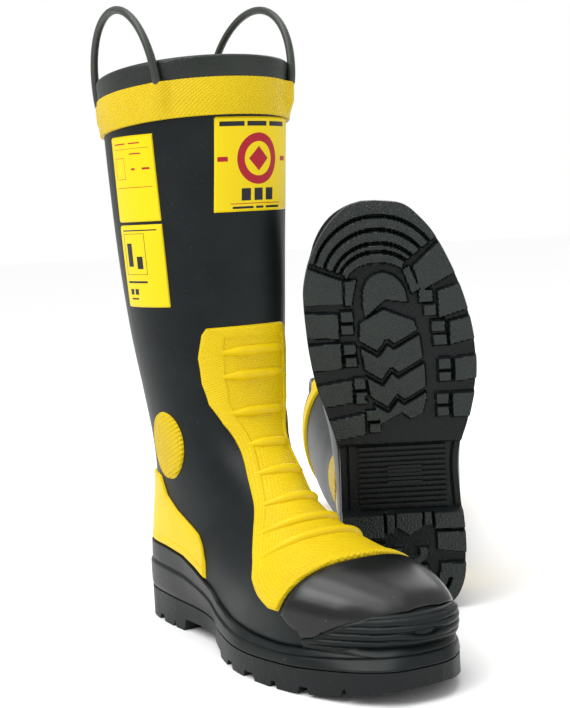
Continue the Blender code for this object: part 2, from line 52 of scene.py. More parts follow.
pair = {"rightAt": (-0.0608, -0.1108, 0.0), "rightTurn": 29.4,
        "leftAt": (0.0717, -0.1295, 0.0599), "leftTilt": 3.5, "originA": 60.0}

# back point (a, z), front point (a, z), outer and inner reach, height share of the widest place, squareness
bootForm = np.array([
    (-20.0, 394, 124.0, 406, 67.0, 65.0, 0.0, 2.1, 2.1),
    (-17.5, 330, 119.5, 340, 64.0, 62.0, 0.0, 2.1, 2.1),
    (-13.0, 270, 114.5, 278, 60.5, 59.0, 0.0, 2.1, 2.1),
    (-6.0, 215, 112.5, 222, 56.0, 55.0, 0.0, 2.1, 2.1),
    (2.5, 168, 113.5, 184, 51.0, 50.0, 0.0, 2.1, 2.1),
    (8.0, 130, 119.0, 158, 47.0, 46.0, 0.0, 2.2, 2.1),
    (8.5, 98, 130.0, 139, 45.0, 44.0, -0.10, 2.3, 2.1),
    (4.0, 64, 147.0, 123, 44.5, 43.5, -0.25, 2.6, 2.1),
    (9.0, 34, 165.0, 109, 45.0, 43.5, -0.40, 3.2, 2.1),
    (60.0, 31, 183.0, 97.5, 46.0, 45.0, -0.45, 3.6, 2.2),
    (120.0, 25, 202.0, 88.5, 47.0, 49.0, -0.45, 4.0, 2.3),
    (175.0, 21, 222.0, 81.5, 51.0, 55.0, -0.40, 4.0, 2.4),
    (225.0, 21, 242.0, 76, 47.0, 59.0, -0.35, 4.0, 2.6),
    (258.0, 24, 262.0, 69, 31.0, 55.0, -0.25, 4.0, 2.6),
    (280.0, 29, 281.0, 60.5, 12.0, 46.0, -0.15, 4.0, 2.6),
    (293.0, 35, 293.0, 50.5, -3.0, 32.0, -0.05, 4.0, 2.6),
    (298.0, 41, 298.0, 44.0, -12.0, 16.0, 0.0, 3.0, 2.6)])
liningForm = np.array([
    (-15.2, 393.4, 119.2, 404.6, 62.4, 60.4, 0.0, 2.1, 2.1),
    (-12.7, 330, 114.7, 339.5, 59.4, 57.4, 0.0, 2.1, 2.1),
    (-8.2, 270, 109.7, 278, 55.9, 54.4, 0.0, 2.1, 2.1),
    (-1.2, 215, 107.7, 222, 51.4, 50.4, 0.0, 2.1, 2.1),
    (7.3, 168, 108.7, 184, 46.4, 45.4, 0.0, 2.1, 2.1),
    (13.8, 130, 113.8, 157, 42.0, 41.0, 0.0, 2.2, 2.1),
    (14.8, 98, 124.5, 137, 39.5, 38.5, -0.10, 2.3, 2.1),
    (11.0, 66, 141.0, 118.5, 38.5, 37.5, -0.25, 2.6, 2.1),
    (16.0, 43.5, 159.0, 103, 39.0, 37.5, -0.40, 3.2, 2.1),
    (62.0, 40.5, 177.5, 91.5, 40.0, 39.0, -0.45, 3.6, 2.2),
    (121.0, 34.5, 196.5, 82.5, 41.0, 43.0, -0.45, 4.0, 2.3),
    (175.0, 30.5, 216.5, 75.5, 45.0, 49.0, -0.40, 4.0, 2.4),
    (224.0, 30.5, 235.5, 69.5, 40.5, 52.5, -0.35, 4.0, 2.6),
    (254.0, 33.5, 254.0, 62.5, 25.0, 48.5, -0.25, 4.0, 2.6),
    (270.0, 38, 270.0, 55, 9.0, 40.0, -0.15, 4.0, 2.6)])
outerSole = [(303, -12), (300, 8), (291, 19.5), (276, 31), (248, 44), (222, 52), (196, 56.3), (171, 56),
             (143, 50), (126, 44.5), (109, 42), (85, 43), (60, 45), (40, 45), (22, 43), (8, 36), (0, 22)]
innerSole = [(303, -20), (298.5, -33), (284, -48), (264, -59), (244, -64.7), (230, -65.3), (210, -64.3),
             (194, -62.9), (171, -58.8), (150, -52), (126, -45), (109, -44.2), (85, -44.6), (60, -45),
             (40, -45), (22, -43), (8, -36), (0, -22)]
weltLine = [(0, 22), (50, 22), (90, 20.5), (140, 17), (190, 16), (240, 17), (303, 22)]
randLine = [(0, 60), (56, 59), (84, 57), (102, 52.6), (120, 46.9), (129, 44), (140, 37.4), (160, 31.5),
            (190, 28), (225, 28), (250, 29.5), (303, 34)]
bumperLine = [(225, 29), (243, 33.7), (252, 36), (260, 41), (273, 47), (288, 52), (310, 53)]


def throughRows(table, t):
    table = np.asarray(table, float)
    t = np.atleast_1d(np.asarray(t, float))
    last = len(table) - 1
    i = np.clip(t.astype(int), 0, last - 1)
    x = (t - i)[:, None]
    p, q = table[i], table[i + 1]
    before = np.where((i > 0)[:, None], table[np.maximum(i - 1, 0)], 2 * p - q)
    after = np.where((i + 2 <= last)[:, None], table[np.minimum(i + 2, last)], 2 * q - p)
    return 0.5 * (2 * p + (q - before) * x + (2 * before - 5 * p + 4 * q - after) * x ** 2
                  + (3 * p - before - 3 * q + after) * x ** 3)


def onForm(table, t, turn):
    # points of the form: t picks the section and turn goes round it,
    # from the back over the outer side to the front
    row = throughRows(table, np.ravel(t)).reshape(*np.shape(t), 9)
    turn = np.broadcast_to(turn, np.shape(t))
    c, s = np.cos(turn), np.sin(turn)
    power = 2 / np.where(c > 0, row[..., 7], row[..., 8])
    along = np.abs(c) ** power
    share = np.where(c > 0, row[..., 6] - (1 + row[..., 6]) * along, row[..., 6] + (1 - row[..., 6]) * along)
    half = (1 + share) / 2
    a = row[..., 0] + (row[..., 2] - row[..., 0]) * half
    z = row[..., 1] + (row[..., 3] - row[..., 1]) * half
    centre, reach = (row[..., 4] - row[..., 5]) / 2, (row[..., 4] + row[..., 5]) / 2
    return np.stack([a, centre + reach * np.sign(s) * np.abs(s) ** power, z], -1)


def turnAt(t, outline):
    # where each section's middle plane crosses a side-view line, as a turn on the outer side
    turns = []
    for value in np.atleast_1d(t):
        a0, z0, a1, z1, _, _, widest, low, high = throughRows(bootForm, value)[0]
        best = None
        for (pa, pz), (qa, qz) in zip(outline, outline[1:]):
            den = (a1 - a0) * (qz - pz) - (z1 - z0) * (qa - pa)
            if abs(den) < 1e-9:
                continue
            u = ((pa - a0) * (qz - pz) - (pz - z0) * (qa - pa)) / den
            w = ((pa - a0) * (z1 - z0) - (pz - z0) * (a1 - a0)) / den
            if -0.001 <= w <= 1.001 and -0.2 < u < 1.2:
                best = u if best is None else max(best, u)
        share = min(max(2 * (1.0 if best is None else best) - 1, -1), 1)
        if share >= widest:
            turns.append(math.pi - math.acos(min(1, ((share - widest) / (1 - widest)) ** (high / 2))))
        else:
            turns.append(math.acos(min(1, ((widest - share) / (1 + widest)) ** (low / 2))))
    return np.array(turns)


def lineAt(line, a):
    return np.interp(a, [p[0] for p in line], [p[1] for p in line])


def roundLine(points, count=400):
    # a smooth dense line through a few points
    return throughRows(points, np.linspace(0, len(points) - 1, count))


outerDense, innerDense = roundLine(outerSole), roundLine(innerSole)


def soleReach(a):
    outer, inner = outerDense[::-1], innerDense[::-1]
    return np.interp(a, outer[:, 0], outer[:, 1]), np.interp(a, inner[:, 0], inner[:, 1])


def gridNormals(points, wrap=False):
    if wrap:
        across = np.roll(points, -1, 1) - np.roll(points, 1, 1)
    else:
        across = np.gradient(points, axis=1)
    along = np.gradient(points, axis=0)
    n = np.cross(along, across)
    length = np.linalg.norm(n, axis=-1, keepdims=True)
    return n / np.maximum(length, 1e-9)


def outward(points, normals, centre=None):
    # turn a grid's normals away from the leg's and foot's inside
    middle = points.reshape(-1, 3).mean(0) if centre is None else np.asarray(centre, float)
    if np.sum(normals * (points - middle)) < 0:
        normals = -normals
    return normals


def mmAlong(points, axis):
    step = np.linalg.norm(np.diff(points, axis=axis), axis=-1)
    zero = np.zeros_like(np.take(step, [0], axis=axis))
    return np.concatenate([zero, np.cumsum(step, axis=axis)], axis=axis)


def edgeDistance(points):
    # distance of each grid point to the patch's four edges
    across, along = mmAlong(points, 1), mmAlong(points, 0)
    return np.minimum(np.minimum(across, across[:, -1:] - across), np.minimum(along, along[-1:] - along))


def rounded(distance, radius):
    x = np.clip(distance / radius, 0, 1)
    return np.sqrt(np.clip(1 - (1 - x) ** 2, 0, 1))


def step(x, soft=1.0):
    x = np.clip(x / soft + 0.5, 0, 1)
    return x * x * (3 - 2 * x)


def inBand(x, low, high, soft=0.9):
    return step(x - low, soft) * step(high - x, soft)


def wobble(points, size, seed):
    # smooth uneven surface made of a few slanted waves
    rng = np.random.default_rng(seed)
    total = 0
    for _ in range(7):
        direction = rng.normal(size=3)
        direction /= np.linalg.norm(direction)
        total = total + np.sin(points @ direction * 2 * math.pi / (size * rng.uniform(0.7, 1.5))
                               + rng.uniform(0, 6.28))
    return total / 7


def gridFaces(rows, cols, wrap=False, start=0):
    i, j = np.meshgrid(np.arange(rows - 1), np.arange(cols if wrap else cols - 1), indexing="ij")
    n = (j + 1) % cols
    return (np.stack([i * cols + j, i * cols + n, (i + 1) * cols + n, (i + 1) * cols + j], -1).reshape(-1, 4)
            + start).tolist()


def slab(points, normals, height, depth, wrap=False):
    # closed thin solid on a grid: its top stands height above the grid and its underside depth below
    rows, cols = points.shape[:2]
    height = np.broadcast_to(height, (rows, cols))
    top = points + normals * height[..., None]
    bottom = points - normals * np.broadcast_to(depth, (rows, cols))[..., None]
    verts = np.concatenate([top.reshape(-1, 3), bottom.reshape(-1, 3)])
    count = rows * cols
    faces = gridFaces(rows, cols, wrap) + [f[::-1] for f in gridFaces(rows, cols, wrap, count)]
    index = np.arange(count).reshape(rows, cols)
    if wrap:
        rims = [(np.append(index[0], index[0, 0]), False), (np.append(index[-1], index[-1, 0]), True)]
    else:
        rims = [(np.concatenate([index[0], index[1:, -1], index[-1, -2::-1], index[-2::-1, 0]]), False)]
    for rim, flip in rims:
        for p, q in zip(rim[:-1], rim[1:]):
            face = [int(q), int(p), int(p + count), int(q + count)]
            faces.append(face[::-1] if flip else face)
    return verts, faces


def flatUv(points):
    # a map in metres, measured along the grid
    return np.stack([mmAlong(points, 1), mmAlong(points, 0)], -1).reshape(-1, 2) / 1000


def gridUv(points):
    # the same map for a slab's top and underside
    return np.tile(flatUv(points), (2, 1))


def ringFaces(rows, cols):
    # a closed ring: the last row joins the first
    last = (rows - 1) * cols
    return gridFaces(rows, cols, True) + [[last + k, last + (k + 1) % cols, (k + 1) % cols, k]
                                          for k in range(cols)]


def ringNormals(points, row=0):
    # normals of rings round the leg, pointing away from the middle of one row
    normals = gridNormals(points, True)
    return normals * np.sign(np.sum(normals[row] * (points[row] - points[row].mean(0))))


moulding = {"sunk": 0.4, "under": 0.6}  # how deep a guard's edge starts and how deep its underside lies


def raised(height, distance, radius, sunk=moulding["sunk"]):
    # a guard's height with a rounded edge
    return -sunk + (height + sunk) * rounded(distance, radius)


rightMatrix = Matrix.Translation(pair["rightAt"]) @ Matrix.Rotation(math.radians(pair["rightTurn"]), 4, "Z")
leftMatrix = Matrix.Translation(pair["leftAt"]) @ Matrix.Rotation(math.radians(pair["leftTilt"] - 90), 4, "X")
sides = {"right": (rightMatrix, -1), "left": (leftMatrix, 1)}


def toWorld(points, side):
    matrix, outer = sides[side]
    points = np.asarray(points, float).reshape(-1, 3)
    own = np.stack([outer * points[:, 1], -(points[:, 0] - pair["originA"]), points[:, 2]], -1) / 1000
    m = np.array(matrix)
    return own @ m[:3, :3].T + m[:3, 3]


def buildMesh(name, verts, faces, uv=None, sharp=40):
    mesh = bpy.data.meshes.new(name)
    mesh.from_pydata([tuple(v) for v in np.asarray(verts).tolist()], [], faces)
    form = bmesh.new()
    form.from_mesh(mesh)
    bmesh.ops.recalc_face_normals(form, faces=form.faces[:])
    form.to_mesh(mesh)
    form.free()
    if uv is not None:
        corner = np.empty(len(mesh.loops), int)
        mesh.loops.foreach_get("vertex_index", corner)
        mesh.uv_layers.new(name="UVMap").data.foreach_set("uv", np.asarray(uv, np.float32)[corner].ravel())
    mesh.shade_smooth()
    mesh.set_sharp_from_angle(angle=math.radians(sharp))
    return mesh


def place(name, verts, faces, finish, nodes=(), uv=None, sharp=40, body="{}_boot"):
    # one piece on each boot
    made = []
    for side in sides:
        mesh = buildMesh(f"{side}_{name}", toWorld(verts, side), faces, uv, sharp)
        mesh.materials.append(finish)
        piece = bpy.data.objects.new(f"{side}_{name}", mesh)
        bpy.context.scene.collection.objects.link(piece)
        if body:
            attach(piece, body.format(side))
        if nodes:
            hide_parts(*[f"{side}_{node}" for node in nodes])
        made.append(piece)
    return made


def formGrid(form, t, turns):
    return onForm(form, np.repeat(t[:, None], len(turns), 1), np.repeat(turns[None], len(t), 0))


def fullTurn(count):
    return np.linspace(0, 2 * math.pi, count + 1)[:-1]


skinGrid = {"rows": 241, "turns": 160, "missReach": 60, "legReach": 120, "footReach": 260, "footHeight": 58.0}
skin = formGrid(bootForm, np.linspace(0, len(bootForm) - 1, skinGrid["rows"]), fullTurn(skinGrid["turns"]))
skinTree = BVHTree.FromPolygons([Vector(p) for p in skin.reshape(-1, 3).tolist()],
                                gridFaces(skinGrid["rows"], skinGrid["turns"], True))


def castIn(points, directions):
    # move each point along its direction until it meets the boot's skin
    flat, ways = points.reshape(-1, 3), np.broadcast_to(directions, points.shape).reshape(-1, 3)
    found = []
    last = None
    for p, d in zip(flat, ways):
        hit = skinTree.ray_cast(Vector(p), Vector(d))[0]
        last = np.array(hit) if hit is not None else (last if last is not None else p + d
                                                      * skinGrid["missReach"])
        found.append(last)
    return np.array(found).reshape(points.shape)


def facingPatch(centre, turn, across, up):
    # a grid on the leg seen along one direction; turn is degrees from the toe towards the outer side
    out = np.array([math.cos(math.radians(turn)), math.sin(math.radians(turn)), 0])
    side = np.array([-out[1], out[0], 0])
    start = np.array(centre) + out * skinGrid["legReach"]
    points = start - side * across[..., None] + np.array([0, 0, 1]) * up[..., None]
    points = castIn(points, -out)
    return points, outward(points, gridNormals(points), (centre[0], centre[1], points[..., 2].mean()))


def wrapPatch(axis, angles, lowAt, highAt, count):
    # a grid on the skin seen all round an upright axis, between two side-view lines
    turns = np.radians(angles)
    out = np.stack([np.cos(turns), np.sin(turns), 0 * turns], -1)
    foot = np.array([axis[0], axis[1], skinGrid["footHeight"]])
    first = castIn(foot + out * skinGrid["footReach"], -out)[:, 0]
    fraction = np.linspace(0, 1, count)[:, None]
    for _ in range(2):
        z = lowAt(first) + (highAt(first) - lowAt(first)) * fraction
        starts = np.array([axis[0], axis[1], 0]) + out[None] * skinGrid["footReach"]
        starts = starts + z[..., None] * (0, 0, 1)
        points = castIn(starts, np.broadcast_to(-out[None], starts.shape))
        first = points.mean(0)[:, 0]
    normals = gridNormals(points)
    if np.sum(normals * out[None]) < 0:
        normals = -normals
    return points, normals


def newGroup(name, inputs, outputs):
    group = bpy.data.node_groups.new(name, "ShaderNodeTree")
    for label, kind, value in inputs:
        socket = group.interface.new_socket(label, in_out="INPUT", socket_type=kind)
        if value is not None:
            socket.default_value = value
    for label, kind in outputs:
        group.interface.new_socket(label, in_out="OUTPUT", socket_type=kind)
    return group, group.nodes.new("NodeGroupInput"), group.nodes.new("NodeGroupOutput")


def setValues(node, values):
    for label, value in values.items():
        node.inputs[label].default_value = value


def mathNode(tree, kind, a, b=None):
    node = tree.nodes.new("ShaderNodeMath")
    node.operation = kind
    for socket, value in zip(node.inputs, (a, b)):
        if value is None:
            continue
        if isinstance(value, (int, float)):
            socket.default_value = value
        else:
            tree.links.new(value, socket)
    return node.outputs[0]


def makeGrainGroup():
    # moulded rubber: fine grain, broad unevenness and rare pale dust specks
    group, start, end = newGroup("rubberGrain", [("Vector", "NodeSocketVector", None),
                                                 ("Grain Scale", "NodeSocketFloat", 900.0),
                                                 ("Speck Scale", "NodeSocketFloat", 260.0),
                                                 ("Broad Scale", "NodeSocketFloat", 18.0)],
                                 [("Height", "NodeSocketFloat"), ("Specks", "NodeSocketFloat"),
                                  ("Broad", "NodeSocketFloat")])
    links = group.links
    grain = group.nodes.new("ShaderNodeTexNoise")
    grain.inputs["Detail"].default_value = 2.0
    links.new(start.outputs["Vector"], grain.inputs["Vector"])
    links.new(start.outputs["Grain Scale"], grain.inputs["Scale"])
    broad = group.nodes.new("ShaderNodeTexNoise")
    setValues(broad, {"Detail": 4.0, "Roughness": 0.6})
    links.new(start.outputs["Vector"], broad.inputs["Vector"])
    links.new(start.outputs["Broad Scale"], broad.inputs["Scale"])
    speck = group.nodes.new("ShaderNodeTexVoronoi")
    links.new(start.outputs["Vector"], speck.inputs["Vector"])
    links.new(start.outputs["Speck Scale"], speck.inputs["Scale"])
    near = mathNode(group, "LESS_THAN", speck.outputs["Distance"], 0.13)
    chosen = group.nodes.new("ShaderNodeSeparateColor")
    links.new(speck.outputs["Color"], chosen.inputs[0])
    some = mathNode(group, "GREATER_THAN", chosen.outputs[0], 0.93)
    links.new(mathNode(group, "MULTIPLY", near, some), end.inputs["Specks"])
    links.new(grain.outputs[0], end.inputs["Height"])
    links.new(broad.outputs[0], end.inputs["Broad"])
    return group


def makeLineGroup():
    # even ridges on the piece's own map, such as a moulded hatch or a brushed grain
    group, start, end = newGroup("ridgeLines",
                                 [("Vector", "NodeSocketVector", None), ("Pitch", "NodeSocketFloat", 0.0016),
                                                ("Slant", "NodeSocketFloat", 0.0)],
                                 [("Height", "NodeSocketFloat")])
    links = group.links
    parts = group.nodes.new("ShaderNodeSeparateXYZ")
    links.new(start.outputs["Vector"], parts.inputs[0])
    slanted = mathNode(group, "ADD", parts.outputs[1],
                    mathNode(group, "MULTIPLY", parts.outputs[0], start.outputs["Slant"]))
    phase = mathNode(group, "DIVIDE", slanted, start.outputs["Pitch"])
    wave = mathNode(group, "SINE", mathNode(group, "MULTIPLY", phase, 2 * math.pi))
    links.new(mathNode(group, "MULTIPLY_ADD", wave, 0.5), end.inputs["Height"])
    return group


grainGroup, lineGroup = makeGrainGroup(), makeLineGroup()


def rubber(name, look):
    # colour, deep colour, roughness, grain and bump of one moulded finish
    made = bpy.data.materials.new(name)
    made.use_nodes = True
    tree = made.node_tree
    links = tree.links
    shader = tree.nodes["Principled BSDF"]
    place3 = tree.nodes.new("ShaderNodeTexCoord")
    grain = tree.nodes.new("ShaderNodeGroup")
    grain.node_tree = grainGroup
    links.new(place3.outputs["Object"], grain.inputs["Vector"])
    setValues(grain, {"Grain Scale": look.get("grain", 900.0), "Speck Scale": look.get("speckScale", 260.0),
                      "Broad Scale": look.get("broad", 18.0)})
    tone = tree.nodes.new("ShaderNodeMix")
    tone.data_type = "RGBA"
    setValues(tone, {"A": (*look["deep"], 1), "B": (*look["colour"], 1)})
    ramp = tree.nodes.new("ShaderNodeMapRange")
    setValues(ramp, {"From Min": 0.35, "From Max": 0.65})
    links.new(grain.outputs["Broad"], ramp.inputs["Value"])
    links.new(ramp.outputs[0], tone.inputs["Factor"])
    dust = tree.nodes.new("ShaderNodeMix")
    dust.data_type = "RGBA"
    links.new(mathNode(tree, "MULTIPLY", grain.outputs["Specks"], look.get("specks", 0.0)),
              dust.inputs["Factor"])
    links.new(tone.outputs["Result"], dust.inputs["A"])
    dust.inputs["B"].default_value = (*look.get("speckColour", (0.2, 0.22, 0.19)), 1)
    links.new(dust.outputs["Result"], shader.inputs["Base Color"])
    spread = look.get("roughSpread", 0.12)
    rough = mathNode(tree, "MULTIPLY_ADD", grain.outputs["Broad"], spread)
    rough.node.inputs[2].default_value = look["rough"] - spread / 2
    links.new(rough, shader.inputs["Roughness"])
    height = mathNode(tree, "MULTIPLY", grain.outputs["Height"], look.get("grainDepth", 0.5))
    slant = look.get("slant", 0.0)
    for lean in ([slant, -slant] if look.get("cross") else [slant]) if "pitch" in look else []:
        lines = tree.nodes.new("ShaderNodeGroup")
        lines.node_tree = lineGroup
        links.new(place3.outputs["UV"], lines.inputs["Vector"])
        setValues(lines, {"Pitch": look["pitch"], "Slant": lean})
        height = mathNode(tree, "ADD", height,
                       mathNode(tree, "MULTIPLY", lines.outputs[0], look.get("lineDepth", 1.0)))
    if "pebble" in look:
        cells = tree.nodes.new("ShaderNodeTexVoronoi")
        cells.feature = "SMOOTH_F1"
        cells.inputs["Scale"].default_value = look["pebble"]
        links.new(place3.outputs["Object"], cells.inputs["Vector"])
        height = mathNode(tree, "ADD", height,
                       mathNode(tree, "MULTIPLY", cells.outputs["Distance"], look.get("pebbleDepth", 1.0)))
    bump = tree.nodes.new("ShaderNodeBump")
    setValues(bump, {"Strength": look.get("bump", 0.5), "Distance": look.get("bumpDistance", 0.0003)})
    links.new(height, bump.inputs["Height"])
    links.new(bump.outputs[0], shader.inputs["Normal"])
    setValues(shader, {"Metallic": look.get("metallic", 0.0), "Specular IOR Level": look.get("specular", 0.5),
                       "Sheen Weight": look.get("sheen", 0.0)})
    return made


yellow = {"colour": (0.77, 0.55, 0.0), "deep": (0.70, 0.49, 0.0), "specular": 0.25}
finishes = {
    "upperRubber": {"colour": (0.007, 0.011, 0.011), "deep": (0.003, 0.005, 0.006), "rough": 0.4,
                    "specks": 0.4, "speckScale": 620,
                    "grain": 700, "bump": 0.35, "specular": 0.2},
    "toeRubber": {"colour": (0.006, 0.007, 0.006), "deep": (0.003, 0.004, 0.003), "rough": 0.26,
                  "roughSpread": 0.14,
                  "specks": 0.25, "bump": 0.12, "specular": 0.45},
    "randRubber": {"colour": (0.007, 0.010, 0.010), "deep": (0.003, 0.005, 0.005), "rough": 0.38,
                   "specks": 0.3, "bump": 0.3,
                   "specular": 0.22},
    "soleRubber": {"colour": (0.006, 0.008, 0.009), "deep": (0.003, 0.005, 0.005), "rough": 0.45,
                   "specular": 0.25, "specks": 0.2,
                   "pebble": 520, "pebbleDepth": 1.2, "bump": 0.6, "bumpDistance": 0.0004},
    "guardRubber": {**yellow, "rough": 0.4, "bump": 0.2,
                    "specks": 0.35, "speckColour": (0.5, 0.38, 0.02)},
    "panelRubber": {**yellow, "rough": 0.42, "pitch": 0.0017, "cross": True,
                    "slant": 0.35, "lineDepth": 1.0, "grainDepth": 0.1, "bump": 0.6, "bumpDistance": 0.0004},
    "bandRubber": {**yellow, "rough": 0.4, "pitch": 0.0021, "cross": True,
                   "slant": 0.62, "lineDepth": 1.0, "grainDepth": 0.1, "bump": 0.7, "bumpDistance": 0.0005},
    "discRubber": {**yellow, "rough": 0.42, "pitch": 0.0034, "slant": -0.5,
                   "lineDepth": 1.0, "grainDepth": 0.0, "bump": 0.9, "bumpDistance": 0.0012},
    "collarRubber": {"colour": (0.014, 0.020, 0.015), "deep": (0.008, 0.011, 0.009), "rough": 0.42,
                     "pebble": 760,
                     "pebbleDepth": 1.0, "bump": 0.7, "bumpDistance": 0.0004, "specular": 0.4},
    # lug faces get a lighter colour than the rest of the sole, so the grooves between them read darker:
    # painted shade in the grooves
    "lugFaceRubberPaintedGrooveShade": {"colour": (0.013, 0.020, 0.017), "deep": (0.008, 0.012, 0.011), "rough": 0.36,
                  "pebble": 900,
                  "pebbleDepth": 1.4, "bump": 0.8, "bumpDistance": 0.0006, "specular": 0.4},
    "loopRubber": {"colour": (0.034, 0.042, 0.032), "deep": (0.022, 0.028, 0.021), "rough": 0.42,
                   "specks": 0.5, "bump": 0.3},
    "liningCloth": {"colour": (0.46, 0.44, 0.38), "deep": (0.36, 0.34, 0.29), "rough": 0.92, "pitch": 0.0018,
                    "slant": 0.5, "bump": 0.8, "bumpDistance": 0.0005, "sheen": 0.2, "specular": 0.2},
    "fibreBoard": {"colour": (0.36, 0.27, 0.18), "deep": (0.28, 0.2, 0.13), "rough": 0.85, "grain": 500,
                   "bump": 0.6},
    "footbedFoam": {"colour": (0.10, 0.10, 0.11), "deep": (0.07, 0.07, 0.075), "rough": 0.9, "pebble": 700,
                    "bump": 0.6},
    "plateSteel": {"colour": (0.55, 0.56, 0.57), "deep": (0.45, 0.46, 0.47), "rough": 0.35, "metallic": 1.0,
                   "grain": 400,
                   "bump": 0.2},
}
finish = {name: rubber(name, look) for name, look in finishes.items()}
print("finishes made")


def boxMask(tree, u, v, box):
    # 1 inside a rectangle of the print
    left = mathNode(tree, "GREATER_THAN", u, box[0])
    right = mathNode(tree, "LESS_THAN", u, box[1])
    low = mathNode(tree, "GREATER_THAN", v, box[2])
    high = mathNode(tree, "LESS_THAN", v, box[3])
    return mathNode(tree, "MULTIPLY", mathNode(tree, "MULTIPLY", left, right),
                    mathNode(tree, "MULTIPLY", low, high))


def printFinish(name, size, blackBoxes, redBoxes, discs):
    # a plain print: yellow ground, black and red bars, red discs with a hole; all in shares of the label
    made = rubber(name, {"colour": (0.82, 0.62, 0.0), "deep": (0.78, 0.58, 0.0), "rough": 0.35, "bump": 0.08,
                         "broad": 6,
                         "specular": 0.25})
    tree = made.node_tree
    links = tree.links
    shader = tree.nodes["Principled BSDF"]
    ground = shader.inputs["Base Color"].links[0].from_socket
    place3 = tree.nodes.new("ShaderNodeTexCoord")
    parts = tree.nodes.new("ShaderNodeSeparateXYZ")
    links.new(place3.outputs["UV"], parts.inputs[0])
    u = mathNode(tree, "DIVIDE", parts.outputs[0], size[0])
    v = mathNode(tree, "DIVIDE", parts.outputs[1], size[1])
    red = [boxMask(tree, u, v, box) for box in redBoxes]
    for cu, cv, outer, inner in discs:
        du = mathNode(tree, "MULTIPLY", mathNode(tree, "SUBTRACT", u, cu), size[0] / size[1])
        dv = mathNode(tree, "SUBTRACT", v, cv)
        squares = mathNode(tree, "ADD", mathNode(tree, "MULTIPLY", du, du),
                           mathNode(tree, "MULTIPLY", dv, dv))
        away = mathNode(tree, "SQRT", squares)
        red.append(mathNode(tree, "MULTIPLY", mathNode(tree, "LESS_THAN", away, outer),
                         mathNode(tree, "GREATER_THAN", away, inner)))
        diamond = mathNode(tree, "ADD", mathNode(tree, "ABSOLUTE", du), mathNode(tree, "ABSOLUTE", dv))
        red.append(mathNode(tree, "LESS_THAN", diamond, inner * 0.72))
    black = [boxMask(tree, u, v, box) for box in blackBoxes]
    for masks, colour in ((red, (0.38, 0.008, 0.022, 1)), (black, (0.012, 0.013, 0.02, 1))):
        if not masks:
            continue
        mask = masks[0]
        for other in masks[1:]:
            mask = mathNode(tree, "MAXIMUM", mask, other)
        layer = tree.nodes.new("ShaderNodeMix")
        layer.data_type = "RGBA"
        links.new(mask, layer.inputs["Factor"])
        links.new(ground, layer.inputs["A"])
        layer.inputs["B"].default_value = colour
        ground = layer.outputs["Result"]
    links.new(ground, shader.inputs["Base Color"])
    return made


def cupSolid(grid, inner, noseAhead):
    # closed cup: outer grid, inner grid, a rim between them and a rounded nose on both
    rows, cols = grid.shape[:2]
    count = rows * cols
    verts = np.concatenate([grid.reshape(-1, 3), inner.reshape(-1, 3),
                            [grid[-1].mean(0) + (noseAhead, 0, 0)],
                            [inner[-1].mean(0) + (noseAhead * 0.8, 0, 0)]])
    faces = gridFaces(rows, cols, True) + gridFaces(rows, cols, True, count)
    for k in range(cols):
        n = (k + 1) % cols
        faces.append([k, n, count + n, count + k])
        faces.append([(rows - 1) * cols + k, (rows - 1) * cols + n, 2 * count])
        faces.append([count + (rows - 1) * cols + k, count + (rows - 1) * cols + n, 2 * count + 1])
    return verts, faces


legForm = {"wall": 3.0, "rows": 200, "last": 15.9, "turns": 144, "noseRows": 28, "noseShare": 0.9,
           "noseBack": 2.0,
           "nose": 0.8, "liningRows": 110, "liningLast": 14, "liningWall": 1.2, "liningNose": 2.0}
legTurns = fullTurn(legForm["turns"])
grid = formGrid(bootForm, np.linspace(0, legForm["last"], legForm["rows"]), legTurns)
inner = grid - ringNormals(grid) * legForm["wall"]
nose = -legForm["noseRows"]
inner[nose:] = inner[nose] + (grid[nose:] - grid[nose]) * legForm["noseShare"] - (legForm["noseBack"], 0, 0)
verts, faces = cupSolid(grid, inner, legForm["nose"])
uv = gridUv(grid)
place("shell", verts, faces, finish["upperRubber"], ["upper_shell"],
      np.concatenate([uv, uv[:2]]))

grid = formGrid(liningForm, np.linspace(0, legForm["liningLast"], legForm["liningRows"]), legTurns)
inner = grid - ringNormals(grid) * legForm["liningWall"]
verts, faces = cupSolid(grid, inner, legForm["liningNose"])
uv = gridUv(grid)
place("knitLining", verts, faces, finish["liningCloth"], ["lining"],
      np.concatenate([uv, uv[:2]]))
print("shell and lining made")


rim = {"bandTop": 13.3, "bandDepth": 25.0, "spread": 42.0, "extraSpread": 12, "bulge": 4.4, "bulgeWide": 8.0,
       "turns": 288, "middle": 52, "deep": 72, "wide": 66, "height": 400, "footOut": 4.6, "dropPerT": 65.0,
       "slope": 1 / 12, "fadeBelow": 20, "fadeSoft": 8.0}
rimTurns = fullTurn(rim["turns"])


def rimRing(name, profile, look, nodes, bulge=0.0):
    # a ring round the leg; profile is (out from the skin, drop below the rim)
    drops = np.array([p[1] for p in profile])
    outs = np.array([p[0] for p in profile])
    points = formGrid(bootForm, np.clip(drops, 0, None) / rim["dropPerT"], rimTurns)
    points[..., 2] -= np.minimum(drops, 0)[:, None]
    level = formGrid(bootForm, np.array([0.2, 0.3, 0.4]), rimTurns)
    out = ringNormals(level, 1)[1]
    extra = np.zeros(len(rimTurns))
    for foot in loopFeet:
        away = np.linalg.norm(level[1][:, :2] - foot[:2], axis=1)
        extra += bulge * np.exp(-(away / rim["bulgeWide"]) ** 4)
    fade = step(rim["bandTop"] + rim["fadeBelow"] - drops, rim["fadeSoft"])[:, None] * extra
    points = points + out[None] * (outs[:, None] + np.where(outs[:, None] > 1.0, fade, 0))[..., None]
    place(name, points.reshape(-1, 3), ringFaces(*points.shape[:2]), finish[look], nodes,
          flatUv(points))


